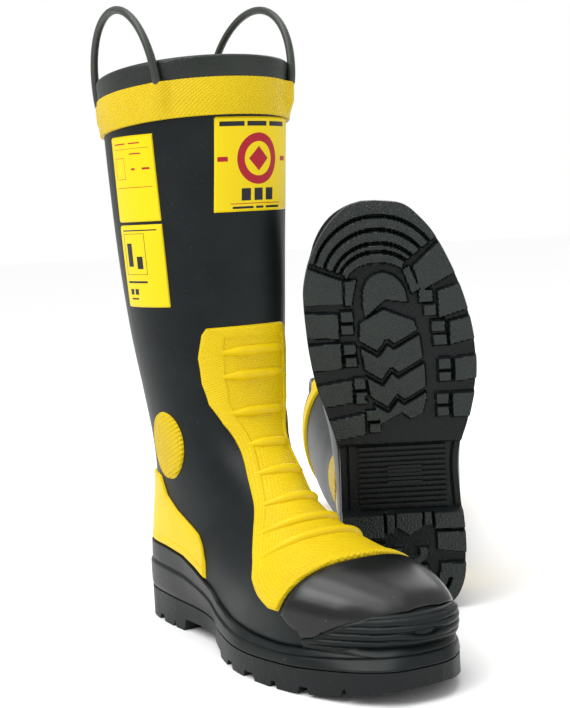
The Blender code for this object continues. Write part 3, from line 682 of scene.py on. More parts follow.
loopFeet, loopOut = [], []
for sign in (1, -1):
    for leg in (-1, 1):
        extra = rim["extraSpread"] if (sign, leg) == (-1, -1) else 0
        angle = math.radians(rim["spread"] + extra) * leg
        out = np.array([math.sin(angle) / rim["deep"], sign * math.cos(angle) / rim["wide"], 0])
        out /= np.linalg.norm(out)
        a = rim["middle"] + rim["deep"] * math.sin(angle)
        start = np.array([a, sign * rim["wide"] * math.cos(angle),
                          rim["height"] + (a - rim["middle"]) * rim["slope"] - rim["bandTop"]])
        loopFeet.append(castIn((start + out * skinGrid["missReach"])[None], -out)[0] + out * rim["footOut"])
        loopOut.append(out)

bandLow = rim["bandTop"] + rim["bandDepth"]
rimRing("bandRing",
        [(-0.3, bandLow), (2.2, bandLow), (2.75, bandLow - 0.4), (2.9, bandLow - 1.2), (2.95, bandLow - 12),
                     (2.9, rim["bandTop"] + 1.2), (2.7, rim["bandTop"] + 0.3), (2.1, rim["bandTop"]),
         (-0.3, rim["bandTop"])],
        "bandRubber", ["top_band"], rim["bulge"])
rimRing("collarRing",
        [(-0.3, 14.5), (1.7, 14.5), (1.9, 13.5), (1.85, 8), (1.9, 2.0), (1.7, 0.6), (1.2, -0.4), (0.3, -1.0),
                       (-1.2, -1.2), (-2.6, -1.0), (-3.3, -0.4), (-3.6, 0.6), (-3.6, 3.0), (-2.9, 3.2)],
        "collarRubber", ["rim_collar"])
print("collar and band made")


pullLoop = {"rodRadius": 2.75, "rootRadius": 3.0, "height": (57.5, 61.0), "lean": (8.0, 6.0), "tail": 15.0,
            "tuckIn": 3.9, "points": 61, "sides": 16}


def newTree(name, inputs):
    # a Geometry Nodes tree with named sizes and a finish
    tree = bpy.data.node_groups.new(name, "GeometryNodeTree")
    for label, kind in {"Geometry": "Geometry", **inputs, "Finish": "Material"}.items():
        tree.interface.new_socket(label, in_out="INPUT", socket_type="NodeSocket" + kind)
    tree.interface.new_socket("Geometry", in_out="OUTPUT", socket_type="NodeSocketGeometry")
    return tree, tree.nodes.new("NodeGroupInput"), tree.nodes.new("NodeGroupOutput")


def endTree(tree, start, end, made):
    # realize the instances and set the finish
    real, paint = tree.nodes.new("GeometryNodeRealizeInstances"), tree.nodes.new("GeometryNodeSetMaterial")
    tree.links.new(made, real.inputs[0])
    tree.links.new(real.outputs[0], paint.inputs["Geometry"])
    tree.links.new(start.outputs["Finish"], paint.inputs["Material"])
    tree.links.new(paint.outputs[0], end.inputs[0])
    return tree


def makeRodTree():
    # sweep a round rod along a line of points, its radius changing towards both ends
    tree, start, end = newTree("rodSweep", {"Rod Radius": "Float", "Root Radius": "Float", "Sides": "Int"})
    nodes, links = tree.nodes, tree.links
    where = nodes.new("GeometryNodeSplineParameter")
    fromMiddle = mathNode(tree, "ABSOLUTE", mathNode(tree, "SUBTRACT", where.outputs["Factor"], 0.5))
    swell = nodes.new("ShaderNodeMapRange")
    setValues(swell, {"From Min": 0.26, "From Max": 0.44})
    links.new(fromMiddle, swell.inputs["Value"])
    links.new(start.outputs["Rod Radius"], swell.inputs["To Min"])
    links.new(start.outputs["Root Radius"], swell.inputs["To Max"])
    toCurve = nodes.new("GeometryNodeMeshToCurve")
    links.new(start.outputs["Geometry"], toCurve.inputs["Mesh"])
    thick = nodes.new("GeometryNodeSetCurveRadius")
    links.new(toCurve.outputs["Curve"], thick.inputs["Curve"])
    links.new(swell.outputs[0], thick.inputs["Radius"])
    ring = nodes.new("GeometryNodeCurvePrimitiveCircle")
    ring.inputs["Radius"].default_value = 1.0
    links.new(start.outputs["Sides"], ring.inputs["Resolution"])
    sweep = nodes.new("GeometryNodeCurveToMesh")
    sweep.inputs["Fill Caps"].default_value = True
    links.new(thick.outputs["Curve"], sweep.inputs["Curve"])
    links.new(ring.outputs["Curve"], sweep.inputs["Profile Curve"])
    if "Scale" in sweep.inputs:
        links.new(swell.outputs[0], sweep.inputs["Scale"])
    return endTree(tree, start, end, sweep.outputs["Mesh"])


def runTree(tree, verts, values):
    # run a tree on a line of points and give back the result's points and faces
    mesh = bpy.data.meshes.new("helper")
    mesh.from_pydata([tuple(map(float, v)) for v in verts], [(i, i + 1) for i in range(len(verts) - 1)], [])
    helper = bpy.data.objects.new("helper", mesh)
    bpy.context.scene.collection.objects.link(helper)
    modifier = helper.modifiers.new("make", "NODES")
    modifier.node_group = tree
    for item in tree.interface.items_tree:
        if item.item_type == "SOCKET" and item.in_out == "INPUT" and item.name in values:
            modifier[item.identifier] = values[item.name]
    bpy.context.view_layer.update()
    made = bpy.data.meshes.new_from_object(helper.evaluated_get(bpy.context.evaluated_depsgraph_get()))
    helper.modifiers.clear()
    form = bmesh.new()
    form.from_mesh(made)
    bmesh.ops.remove_doubles(form, verts=form.verts[:], dist=1e-4)
    form.verts.index_update()
    points = np.array([v.co[:] for v in form.verts])
    result = [[v.index for v in f.verts] for f in form.faces]
    form.free()
    bpy.data.objects.remove(helper)
    bpy.data.meshes.remove(made)
    bpy.data.meshes.remove(mesh)
    return points, result


rodTree = makeRodTree()
for index, which in enumerate(("lateral", "medial")):
    rear, front = loopFeet[2 * index], loopFeet[2 * index + 1]
    sign = 1 if which == "lateral" else -1
    lean = math.tan(math.radians(pullLoop["lean"][index])) * sign
    path = []
    rearOut, frontOut = loopOut[2 * index], loopOut[2 * index + 1]
    for drop in np.linspace(pullLoop["tail"], 3, 6):
        path.append(rear + (0, 0, -drop) - rearOut * pullLoop["tuckIn"] * min(1, drop / 5))
    for k in range(pullLoop["points"]):
        turn = math.pi * k / (pullLoop["points"] - 1)
        rise = pullLoop["height"][index] * math.sin(turn) ** 0.94
        mix = (1 - math.cos(turn)) / 2
        path.append(rear + (front - rear) * mix + np.array([0, lean * rise, rise]))
    for drop in np.linspace(3, pullLoop["tail"], 6):
        path.append(front + (0, 0, -drop) - frontOut * pullLoop["tuckIn"] * min(1, drop / 5))
    rod, rodFaces = runTree(rodTree, path,
                            {"Rod Radius": pullLoop["rodRadius"], "Root Radius": pullLoop["rootRadius"],
                             "Sides": pullLoop["sides"], "Finish": finish["loopRubber"]})
    made = place(f"{which}Loop", rod, rodFaces, finish["loopRubber"], [f"{which}_pull_loop"],
                 body=None)
    root = (rear + front) / 2
    for side, piece in zip(sides, made):
        low, high = toWorld([root + (0, 0, -3), root + (0, 0, 11)], side)
        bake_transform(piece)
print("pull loops made")


guard = {"edge": [(108, 226), (103.6, 216), (101.2, 200), (102.3, 182), (106, 167), (114, 153), (124, 139.4),
                  (134.5, 126),
                  (147.5, 109), (161, 92.7), (175.5, 74.6), (189, 61.5), (204, 54), (217, 49.8), (240, 49.8)],
         "frame": [(3.0, 15), (3.5, 18), (4.2, 16), (5.0, 11), (6.0, 9), (10.0, 9), (11.8, 7)],
         "ribs": [3.44, 3.93, 4.87, 5.98, 7.05, 8.2, 9.25, 10.1], "top": 3.02, "toe": 11.76, "height": 2.7,
         "ribLift": 1.2, "ribRadius": 3.6, "innerExtra": 0.15, "widerTo": 9.0, "innerFrame": 0.45,
         "crowd": 0.35, "edgeRound": 2.2, "panelDrop": 0.9,
         "panelStart": 8, "panelEnd": 7, "ribPast": 2.5, "ribTaper": 0.55, "ribSides": 20, "rows": 300,
         "cols": 150}
t = np.linspace(guard["top"], guard["toe"], guard["rows"])
line = onForm(bootForm, t, np.full(len(t), math.pi))
along = np.concatenate([[0], np.cumsum(np.linalg.norm(np.diff(line, axis=0), axis=1))])
t = np.interp(np.linspace(0, along[-1], guard["rows"]), along, t)
border = turnAt(t, guard["edge"])
even, crowded = np.linspace(0, 1, guard["cols"]), (1 - np.cos(np.linspace(0, math.pi, guard["cols"]))) / 2
share = crowded * guard["crowd"] + even * (1 - guard["crowd"])
wider = guard["innerExtra"] * step(guard["widerTo"] - t, 3.0)
turn = border[:, None] + (2 * math.pi - 2 * border + wider)[:, None] * share[None]
tt = np.repeat(t[:, None], guard["cols"], 1)
grid = onForm(bootForm, tt, turn)
normals = outward(grid, gridNormals(grid), (60, 0, 120))
height = raised(guard["height"], edgeDistance(grid), guard["edgeRound"])
across, down = mmAlong(grid, 1), mmAlong(grid, 0)
inset = lineAt(guard["frame"], t)[:, None]
inside = np.minimum(across - inset, across[:, -1:] - across - inset * guard["innerFrame"])
lengthways = step(down - guard["panelStart"], 1.4) * step(down[-1:] - down - guard["panelEnd"], 1.4)
height -= guard["panelDrop"] * step(inside, 1.2) * lengthways
ribPoints, ribFaces = [], []
for rib in guard["ribs"]:
    row = int(np.argmin(np.abs(t - rib)))
    kept = np.where(inside[row] > -guard["ribPast"])[0]
    path = grid[row, kept] + normals[row, kept] * guard["ribLift"]
    one, faces = runTree(rodTree, path, {
        "Rod Radius": guard["ribRadius"], "Root Radius": guard["ribRadius"] * guard["ribTaper"],
        "Sides": guard["ribSides"],
        "Finish": finish["guardRubber"]})
    start = sum(len(p) for p in ribPoints)
    ribPoints.append(one)
    ribFaces += [[i + start for i in f] for f in faces]
place("instepRibs", np.concatenate(ribPoints), ribFaces, finish["guardRubber"], [], None, 50)
verts, faces = slab(grid, normals, height, moulding["under"])
place("frontGuard", verts, faces, finish["panelRubber"], ["front_guard"], gridUv(grid))
print("front guard made")

toeCover = {"edge": [(200, 51), (226, 51), (236, 42), (243, 35.5), (252, 37), (260, 42), (273, 48), (288, 53),
                     (310, 54)],
            "rear": 11.85, "front": 14.62, "height": 2.1, "edgeRound": 2.4, "rows": 110, "cols": 150,
            "uneven": 0.45, "unevenSize": 42, "seed": 5}
t = np.linspace(toeCover["rear"], toeCover["front"], toeCover["rows"])
border = turnAt(t, toeCover["edge"])
turn = border[:, None] + (2 * math.pi - 2 * border)[:, None] * np.linspace(0, 1, toeCover["cols"])[None]
grid = onForm(bootForm, np.repeat(t[:, None], toeCover["cols"], 1), turn)
normals = outward(grid, gridNormals(grid), (230, 0, 40))
edge = edgeDistance(grid)
height = raised(toeCover["height"], edge, toeCover["edgeRound"])
height += toeCover["uneven"] * wobble(grid, toeCover["unevenSize"], toeCover["seed"]) * step(edge - 6, 8)
verts, faces = slab(grid, normals, height, moulding["under"])
place("toeCover", verts, faces, finish["toeRubber"], ["toe_cover"], gridUv(grid))
print("toe made")

heelGuard = {"axis": (62.0, 0.0), "reach": 141.5, "height": 2.1, "cols": 260, "rows": 70,
             "upper": [(-20, 113), (46, 113), (52.6, 111.5), (61, 98.3), (75, 89.4), (89.5, 82.8),
                       (106, 76.2), (114, 69.5), (121.4, 56)],
             "lower": [(-20, 60.8), (56, 59.8), (84, 57.6), (102, 53.4), (121.4, 47.4)],
             "line": 6.0, "lineWide": 1.6, "lineDeep": 0.5, "ribs": (24.0, 50.0), "ribWide": 3.5,
             "ribHigh": 2.0,
             "ribHalf": 14, "ribTo": 40}
angles = 180 + np.linspace(-heelGuard["reach"], heelGuard["reach"], heelGuard["cols"])
grid, normals = wrapPatch(heelGuard["axis"], angles, lambda a: lineAt(heelGuard["lower"], a),
                          lambda a: lineAt(heelGuard["upper"], a), heelGuard["rows"])
edge = edgeDistance(grid)
height = raised(heelGuard["height"], edge, 2.0)
up = mmAlong(grid, 0)
line = inBand(up, heelGuard["line"], heelGuard["line"] + heelGuard["lineWide"], 0.8)
height -= heelGuard["lineDeep"] * line * step(edge - 3, 2)
nearSeam = step(heelGuard["ribHalf"] - np.abs(grid[..., 1]), 2) * step(heelGuard["ribTo"] - grid[..., 0], 3)
for low in heelGuard["ribs"]:
    height += heelGuard["ribHigh"] * inBand(up, low, low + heelGuard["ribWide"], 1.5) * nearSeam
verts, faces = slab(grid, normals, height, moulding["under"])
place("heelGuard", verts, faces, finish["guardRubber"], ["heel_guard"], gridUv(grid))

backStrip = {"halfWidth": 11.0, "low": 113.6, "high": 191.0, "height": 2.1, "ribs": (59.0, 20.0),
             "ribWide": 3.5,
             "ribHigh": 2.2}
across, up = np.meshgrid(np.linspace(-backStrip["halfWidth"], backStrip["halfWidth"], 30),
                         np.linspace(backStrip["low"], backStrip["high"], 90))
grid, normals = facingPatch((50, 0, 0), 180, across, up)
height = raised(backStrip["height"], edgeDistance(grid), 2.0)
for low in backStrip["ribs"]:
    rib = inBand(up - backStrip["low"], low, low + backStrip["ribWide"], 1.5)
    height += backStrip["ribHigh"] * rib * step(backStrip["halfWidth"] - 1 - np.abs(across), 1.5)
verts, faces = slab(grid, normals, height, moulding["under"])
place("backStrip", verts, faces, finish["guardRubber"], ["back_strip"], gridUv(grid))

disc = {"centre": (69.0, 136.0), "half": (19.5, 25.0), "height": 2.1, "rings": 26, "spokes": 72, "lean": -8.0}
radius, spoke = np.meshgrid(np.linspace(0.02, 1, disc["rings"]), fullTurn(disc["spokes"]))
radius, spoke = radius.T, spoke.T
tilt = math.radians(disc["lean"])
flatA, flatZ = disc["half"][0] * radius * np.cos(spoke), disc["half"][1] * radius * np.sin(spoke)
da, dz = flatA * math.cos(tilt) - flatZ * math.sin(tilt), flatA * math.sin(tilt) + flatZ * math.cos(tilt)
for sign, which in ((1, "lateral"), (-1, "medial")):
    starts = np.stack([disc["centre"][0] + da, np.full_like(da, 120.0 * sign), disc["centre"][1] + dz], -1)
    grid = castIn(starts, np.array([0, -sign, 0]))
    normals = gridNormals(grid, True)
    if np.sum(normals[..., 1]) * sign < 0:
        normals = -normals
    rimAway = (1 - radius) * disc["half"][0]
    height = raised(disc["height"], rimAway, 2.0)
    height -= 0.5 * inBand(rimAway, 2.4, 3.4, 0.6)
    verts, faces = slab(grid, normals, height, moulding["under"], True)
    count = grid.shape[0] * grid.shape[1]
    faces.append(list(range(disc["spokes"])))
    faces.append(list(range(count, count + disc["spokes"]))[::-1])
    faces = [f for f in faces
             if not (len(f) == 4 and f[0] < disc["spokes"] and f[1] < disc["spokes"] and f[2] >= count
                                      and f[3] >= count)]
    flat = np.stack([da, dz], -1).reshape(-1, 2) / 1000
    place(f"{which}Disc", verts, faces, finish["discRubber"], [f"{which}_ankle_disc"],
          np.concatenate([flat, flat]))
print("heel guard, strip and discs made")

labels = {
    "frontLabel": {"turn": -13.5, "half": 35.0, "low": 300.0, "high": 365.5, "node": "front_label",
                   "black": [(0.05, 0.30, 0.90, 0.95), (0.33, 0.56, 0.90, 0.95), (0.60, 0.86, 0.90, 0.95),
                             (0.27, 0.37, 0.12, 0.25), (0.41, 0.51, 0.12, 0.25), (0.55, 0.65, 0.12, 0.25),
                             (0.18, 0.40, 0.035, 0.06), (0.43, 0.52, 0.035, 0.06), (0.55, 0.76, 0.035, 0.06)],
                   "red": [(0.03, 0.13, 0.535, 0.585), (0.79, 0.90, 0.535, 0.585),
                           (0.16, 0.78, 0.085, 0.093)],
                   "discs": [(0.46, 0.56, 0.27, 0.18)]},
    "sideLabelUpper": {"turn": 71.0, "half": 22.5, "low": 296.5, "high": 357.0, "node": "side_label_upper",
                       "black": [], "discs": [],
                       "red": [(0.12, 0.42, 0.90, 0.915), (0.5, 0.75, 0.90, 0.915), (0.08, 0.92, 0.845, 0.85),
                               (0.5, 0.75, 0.78, 0.795), (0.08, 0.92, 0.4, 0.407), (0.52, 0.6, 0.6, 0.625),
                               (0.75, 0.9, 0.6, 0.625), (0.1, 0.36, 0.5, 0.506), (0.1, 0.36, 0.744, 0.75),
                               (0.1, 0.11, 0.5, 0.75), (0.35, 0.36, 0.5, 0.75)]},
    "sideLabelLower": {"turn": 71.0, "half": 22.5, "low": 236.0, "high": 295.0, "node": "side_label_lower",
                       "black": [(0.1, 0.9, 0.925, 0.94), (0.1, 0.64, 0.89, 0.896), (0.1, 0.64, 0.4, 0.406),
                                 (0.1, 0.112, 0.4, 0.896), (0.628, 0.64, 0.4, 0.896), (0.18, 0.32, 0.5, 0.78),
                                 (0.42, 0.56, 0.47, 0.62), (0.1, 0.62, 0.3, 0.325), (0.14, 0.24, 0.16, 0.23),
                                 (0.28, 0.38, 0.16, 0.23), (0.15, 0.36, 0.1, 0.12)],
                       "red": [], "discs": []}}
labelForm = {"cols": 60, "rows": 44, "height": 1.0, "edgeRound": 0.7, "sunk": 0.3, "under": 0.5}
for name, facts in labels.items():
    across, up = np.meshgrid(np.linspace(-facts["half"], facts["half"], labelForm["cols"]),
                             np.linspace(facts["low"], facts["high"], labelForm["rows"]))
    grid, normals = facingPatch((50, 0, 0), facts["turn"], across, up)
    height = raised(labelForm["height"], edgeDistance(grid), labelForm["edgeRound"], labelForm["sunk"])
    size = (mmAlong(grid, 1)[:, -1].mean() / 1000, (facts["high"] - facts["low"]) / 1000)
    verts, faces = slab(grid, normals, height, labelForm["under"])
    place(name, verts, faces, printFinish(name, size, facts["black"], facts["red"], facts["discs"]),
          [facts["node"]], gridUv(grid))
print("labels made")

outline = np.concatenate([outerDense, innerDense[::-1]])
keep = np.concatenate([[True], np.linalg.norm(np.diff(outline, axis=0), axis=1) > 0.05])
outline = np.concatenate([outline[keep], outline[:1]])
walked = np.concatenate([[0], np.cumsum(np.linalg.norm(np.diff(outline, axis=0), axis=1))])
edgeRing = {"points": 420, "passes": 6}
spots = np.linspace(0, walked[-1], edgeRing["points"] + 1)[:-1]
ringLine = np.stack([np.interp(spots, walked, outline[:, 0]), np.interp(spots, walked, outline[:, 1])], -1)
for _ in range(edgeRing["passes"]):
    ringLine = (np.roll(ringLine, 1, 0) + 2 * ringLine + np.roll(ringLine, -1, 0)) / 4
tangent = np.roll(ringLine, -1, 0) - np.roll(ringLine, 1, 0)
tangent /= np.linalg.norm(tangent, axis=1, keepdims=True)
ringOut = np.stack([tangent[:, 1], -tangent[:, 0]], -1)
if np.sum(ringOut * (ringLine - [150, 0])) < 0:
    ringOut = -ringOut

rand = {"inset": 0.6, "lip": 2.3, "bulge": 0.5, "line": 0.6, "lineDepth": 0.8, "ledge": 1.1, "rows": 34,
        "tuck": 8, "outside": 50}
a = ringLine[:, 0]
low, high = lineAt(weltLine, a) + 0.35, lineAt(randLine, a)
ringAway = np.concatenate([ringOut, np.zeros((len(a), 1))], -1)
ringFloor = np.concatenate([ringLine, np.zeros((len(a), 1))], -1)
topSkin = castIn(ringFloor + ringAway * rand["outside"] + np.stack([0 * a, 0 * a, high], -1), -ringAway)
topSkin[:, 2] = high
foot = ringFloor - ringAway * rand["inset"] + np.stack([0 * a, 0 * a, low], -1)
crest = topSkin + ringAway * rand["lip"]
rows = [foot - ringAway * rand["tuck"], foot, foot + ringAway * 0.3 + (0, 0, 0.5)]
for share in np.linspace(0.06, 0.94, rand["rows"]):
    swell = rand["bulge"] * math.sin(math.pi * share)
    swell -= rand["lineDepth"] * math.exp(-((share - rand["line"]) / 0.03) ** 2)
    swell += rand["ledge"] * float(step(np.array(rand["line"] - share), 0.06)) * min(1.0, share / 0.1)
    rows.append(foot + (crest - foot) * share + ringAway * swell)
rows += [crest + (0, 0, -0.6), crest - ringAway * 0.5 + (0, 0, -0.1), crest - ringAway * 1.3,
         crest - ringAway * 2.6,
         crest - ringAway * 3.4 + (0, 0, -4)]
grid = np.stack(rows)
place("rand", grid.reshape(-1, 3), ringFaces(*grid.shape[:2]), finish["randRubber"], ["rand"],
      flatUv(grid))

bumper = {"pitch": 4.6, "height": 1.9, "ribDepth": 1.7, "rows": 70, "aboveSide": 11.0, "aboveToe": 7.0,
          "from": 244,
          "toe": 290, "passes": 34}
front = np.roll(np.arange(len(a)), len(a) // 2)
front = front[a[front] > bumper["from"]]
share = np.linspace(0, 1, bumper["rows"])[:, None]
above = np.interp(a[front], [bumper["from"], bumper["toe"]], [bumper["aboveSide"], bumper["aboveToe"]])
lowZ = lineAt(weltLine, a)[front] + above
highZ = lineAt(bumperLine, a)[front] + 1.0
z = lowZ + (highZ - lowZ) * share
starts = ringFloor[front][None] + ringAway[front][None] * rand["outside"] + z[..., None] * (0, 0, 1)
skinPoints = castIn(starts, np.broadcast_to(-ringAway[front][None], starts.shape))
lift = np.clip((z - foot[front, 2]) / (crest[front, 2] - foot[front, 2]), 0, 1)[..., None]
randPoints = foot[front][None] + (crest - foot)[front][None] * lift
randPoints[..., 2] = z
reach = np.sum((skinPoints - randPoints) * ringAway[front][None], -1) + rand["lip"]
reach = np.clip(reach, -25, 12) * step(z - crest[front, 2] + 1, 7.0)
for _ in range(bumper["passes"]):
    padded = np.pad(reach, 1, mode="edge")
    reach = (padded[1:-1, :-2] + padded[1:-1, 2:] + padded[:-2, 1:-1] + padded[2:, 1:-1] + 2 * reach) / 6
grid = randPoints + ringAway[front][None] * reach[..., None]
normals = np.broadcast_to(ringAway[front][None], grid.shape)
edge = edgeDistance(grid)
ends = step(np.minimum(mmAlong(grid, 1), mmAlong(grid, 1)[:, -1:] - mmAlong(grid, 1)) - 8, 14.0)
waves = np.abs(np.sin((z - lowZ) * math.pi / bumper["pitch"])) ** 0.6
height = -0.8 + (0.9 + bumper["height"] * ends) * rounded(edge, 3.0)
height -= bumper["ribDepth"] * (1 - waves) * step(edge - 2.0, 2.0) * ends
verts, faces = slab(grid, normals, height, 1.6)
place("toeBumper", verts, faces, finish["randRubber"], ["toe_bumper"], gridUv(grid))
print("rand and bumper made")

sole = {"rows": 330, "cols": 132, "lug": 4.5, "waist": 9.0, "breast": 76.0, "tread": 126.0, "springAt": 215.0,
        "spring": 11.0,
        "soft": 1.3}
aLine = np.concatenate([np.linspace(0.15, 8, 14)[:-1], np.linspace(8, 292, sole["rows"] - 40),
                        np.linspace(292, 302.8, 28)[1:]])
share = np.linspace(0, 1, sole["cols"])
outerReach, innerReach = soleReach(aLine)
soleS = innerReach[:, None] + (outerReach - innerReach)[:, None] * share[None]
soleA = np.repeat(aLine[:, None], sole["cols"], 1)


def segmentAway(p, q):
    # how far each point of the sole's grid is from the straight line between two (a, s) corners
    p, span = np.array(p, float), np.array(q, float) - p
    u = np.clip(((soleA - p[0]) * span[0] + (soleS - p[1]) * span[1]) / max(span @ span, 1e-9), 0, 1)
    return np.hypot(soleA - p[0] - u * span[0], soleS - p[1] - u * span[1])


def insideOf(points):
    # signed distance into a closed outline of (a, s) corners
    corner = np.array(points, float)
    away, inside = np.full(soleA.shape, 1e9), np.zeros(soleA.shape, bool)
    for p, q in zip(corner, np.roll(corner, -1, 0)):
        edge = q - p
        away = np.minimum(away, segmentAway(p, q))
        crosses = (p[0] > soleA) != (q[0] > soleA)
        cut = p[1] + (soleA - p[0]) * edge[1] / (edge[0] if abs(edge[0]) > 1e-9 else 1e-9)
        inside ^= crosses & (soleS < cut)
    return np.where(inside, away, -away)


def lugBox(lowA, highA, lowS, highS, slant=0.0):
    return [(lowA, lowS), (lowA + slant, highS), (highA + slant, highS), (highA, lowS)]


edgeAway = np.full(soleA.shape, 1e9)
for p, q in zip(ringLine[::2], np.roll(ringLine[::2], -1, 0)):
    edgeAway = np.minimum(edgeAway, segmentAway(p, q))
sideLugs = [[(247, -36), (248, -27), (230, -31), (229, -36)], [(253.6, 6), (256, 11), (239, 18), (236, 12)],
            [(231, -70), (231, -37), (249, -37), (262, -70)], lugBox(208, 226, -70, -41, -2),
            lugBox(183, 202, -70, -40, 1),
            lugBox(154, 171, -70, -33, 5), lugBox(127, 143, -70, -25, 8),
            [(255.4, 13.3), (283, 45), (257, 58), (237.4, 18.5)], lugBox(217.6, 237.4, 30.5, 66, 10),
            lugBox(198, 215, 38, 66, 6), lugBox(171, 188, 41, 66, 3), lugBox(145, 163, 38.5, 66, 0)]
smallLugs = [(218, 225.7, -39.5, -30.6), (208.6, 216, -39.5, -30.6), (194.5, 202, -38.5, -29.5),
             (185, 192.5, -37.5, -29),
             (168.6, 177, -32, -23.5), (158, 166.6, -31, -22.5), (145, 152.5, -24, -15.5),
             (136, 143, -22, -14),
             (229.6, 238, 17, 27), (220, 228, 20, 29), (208, 216, 25, 35), (198, 206, 26, 36),
             (180, 188.5, 29, 38),
             (171.5, 178.5, 29, 38.5), (155, 163, 27, 36), (146, 153.3, 27, 36)]
centreLugs = [[(252.7, -8), (251, -15), (247, -20), (240, -23), (230, -23.5), (220.5, -22), (232.5, -7),
               (230, 9), (238, 8),
               (245, 4.5), (250, -1)],
              [(217, -26), (226, -8.6), (217, 13), (205, 16.5), (183, 19.5), (160, 20), (149, 17), (145, 8),
               (150, 2), (142, -14),
               (163, -20), (183, -24), (204, -27)]]
zigzags = [(203, -27), (182, -24.5), (162, -21)]
heelLugs = [lugBox(56.5, 74.5, -60, -14.7), lugBox(60, 74, -12.7, -6.6),
            [(75.5, -5.6), (75.5, 13.7), (64, 13.7), (57.6, 4), (64, -5.6)],
            lugBox(65, 75, 15, 20.8), lugBox(62, 74.5, 22.8, 60), [(60, 24), (58, 60), (41, 60), (46, 24)],
            [(36, 26), (34, 60), (20, 60), (25, 26)], lugBox(37, 52, -60, -14), lugBox(27, 33, -60, -24)]
mask = np.zeros(soleA.shape)
for lug in sideLugs + [lugBox(*box[:2], *box[2:]) for box in smallLugs] + centreLugs + heelLugs:
    mask = np.maximum(mask, step(insideOf(lug) + 0.3, sole["soft"]))
for startA, startS in zigzags:
    corners = [(startA, startS - 2), (startA - 9.5, startS + 13), (startA - 0.5, startS + 20),
               (startA - 4.5, startS + 25),
               (startA + 7, startS + 46)]
    for p, q in zip(corners, corners[1:]):
        mask *= 1 - (1 - step(segmentAway(p, q) - 1.5, 1.2)) * (soleS > -30) * (soleS < 23)
toeLow = lineAt([(-70, 263), (-59, 259), (-37, 249.6), (-27, 246), (4, 252), (8.6, 257), (26, 269.7),
                 (40, 279)], soleS)
toeZone = step(soleA - toeLow, 1.2)
# how far inwards each point lies in a family of nested half ovals round the toe
arcs = {"centre": (246, -12), "long": 57.5, "half": 55, "narrowing": 0.75,
        "toe": ((-9, 10.3), (12.3, 20), (22, 29.5),
        (31.5, 35.5), (37.5, 44.5)), "heel": ((-1, 9), (11, 19)), "cups": (45.0, 31.0), "least": -6.0,
        "most": 52.0}
near, far = np.full(soleA.shape, arcs["least"]), np.full(soleA.shape, arcs["most"])
for _ in range(24):
    middle = (near + far) / 2
    along, across = (soleA - arcs["centre"][0]) / (arcs["long"] - middle), soleS - arcs["centre"][1]
    outsideArc = along ** 2 + (across / (arcs["half"] - arcs["narrowing"] * middle)) ** 2 > 1
    near, far = np.where(outsideArc, near, middle), np.where(outsideArc, middle, far)
arc = (near + far) / 2
for low, high in arcs["toe"]:
    mask = np.maximum(mask, inBand(arc, low, high, sole["soft"]) * toeZone)
for p, q in (((263, -70), (249.6, -37)), ((286, 50), (269.7, 26)), ((269.7, 26), (257, 8.6))):
    mask *= step(segmentAway(p, q) - 1.6, 1.2)
heelZone = step(27 - soleA + 0.004 * soleS ** 2, 1.2)
for low, high in arcs["heel"]:
    mask = np.maximum(mask, inBand(edgeAway, low, high, sole["soft"]) * heelZone)
for centre in arcs["cups"]:
    away = np.hypot(soleA - centre, (soleS - 4.5) * 0.8)
    mask = np.maximum(mask, inBand(away, 5.0, 10.5, sole["soft"]) * step(centre + 4 - soleA, 1.2))
waistZone = step(soleA - sole["breast"], 1.4) * step(sole["tread"] - soleA, 3.0)
rise = sole["spring"] * (np.clip(soleA - sole["springAt"], 0, None) / 88) ** 2
height = rise + sole["lug"] * (1 - np.clip(mask, 0, 1)) * (1 - waistZone) + sole["waist"] * waistZone
height += 1.4 * waistZone * inBand(edgeAway, 4.5, 6.0, 1.0)
height = np.maximum(height, 0)
welt = lineAt(weltLine, aLine)[:, None] + 0 * soleS
bottom = np.stack([soleA, soleS, height], -1)
top = np.stack([soleA, soleS, welt], -1)
count = soleA.size
verts = np.concatenate([bottom.reshape(-1, 3), top.reshape(-1, 3)])
faces = gridFaces(*soleA.shape) + [f[::-1] for f in gridFaces(*soleA.shape, False, count)]
index = np.arange(count).reshape(soleA.shape)
loop = np.concatenate([index[0], index[1:, -1], index[-1, -2::-1], index[-2::-1, 0]])
faces += [[int(q), int(p), int(p + count), int(q + count)] for p, q in zip(loop[:-1], loop[1:])]
made = place("treadSole", verts, faces, finish["soleRubber"], ["outsole"], verts[:, :2] / 1000,
             35)
# lug faces take the second, lighter finish and the groove faces keep the darker sole finish: painted shade in
# the grooves
lugFaceMaskForGrooveShade = (np.clip(mask, 0, 1) * (1 - waistZone)).reshape(-1) > 0.8
for piece in made:
    piece.data.materials.append(finish["lugFaceRubberPaintedGrooveShade"])
    for face in piece.data.polygons:
        if all(v < count and lugFaceMaskForGrooveShade[v] for v in face.vertices):
            face.material_index = 1

ladder = {"bars": 12, "firstAt": 80.0, "pitch": 3.9, "barWidth": 2.0, "barHeight": 2.7, "left": -31.0,
          "right": 33.0,
          "shortBars": 5, "shortFirst": 97.0, "shortPitch": 2.9, "shortLeft": -10.0, "shortRight": 15.0,
          "shortHeight": 3.3}


def makeLadderTree():
    # a row of flat bars: one block set along a line of points
    tree, start, end = newTree("barLadder",
                               {"Count": "Int", "Start": "Vector", "Offset": "Vector", "Bar Size": "Vector"})
    nodes, links = tree.nodes, tree.links
    line, bar = nodes.new("GeometryNodeMeshLine"), nodes.new("GeometryNodeMeshCube")
    links.new(start.outputs["Count"], line.inputs["Count"])
    links.new(start.outputs["Start"], line.inputs["Start Location"])
    links.new(start.outputs["Offset"], line.inputs["Offset"])
    links.new(start.outputs["Bar Size"], bar.inputs["Size"])
    spread = nodes.new("GeometryNodeInstanceOnPoints")
    links.new(line.outputs[0], spread.inputs["Points"])
    links.new(bar.outputs[0], spread.inputs["Instance"])
    return endTree(tree, start, end, spread.outputs[0])


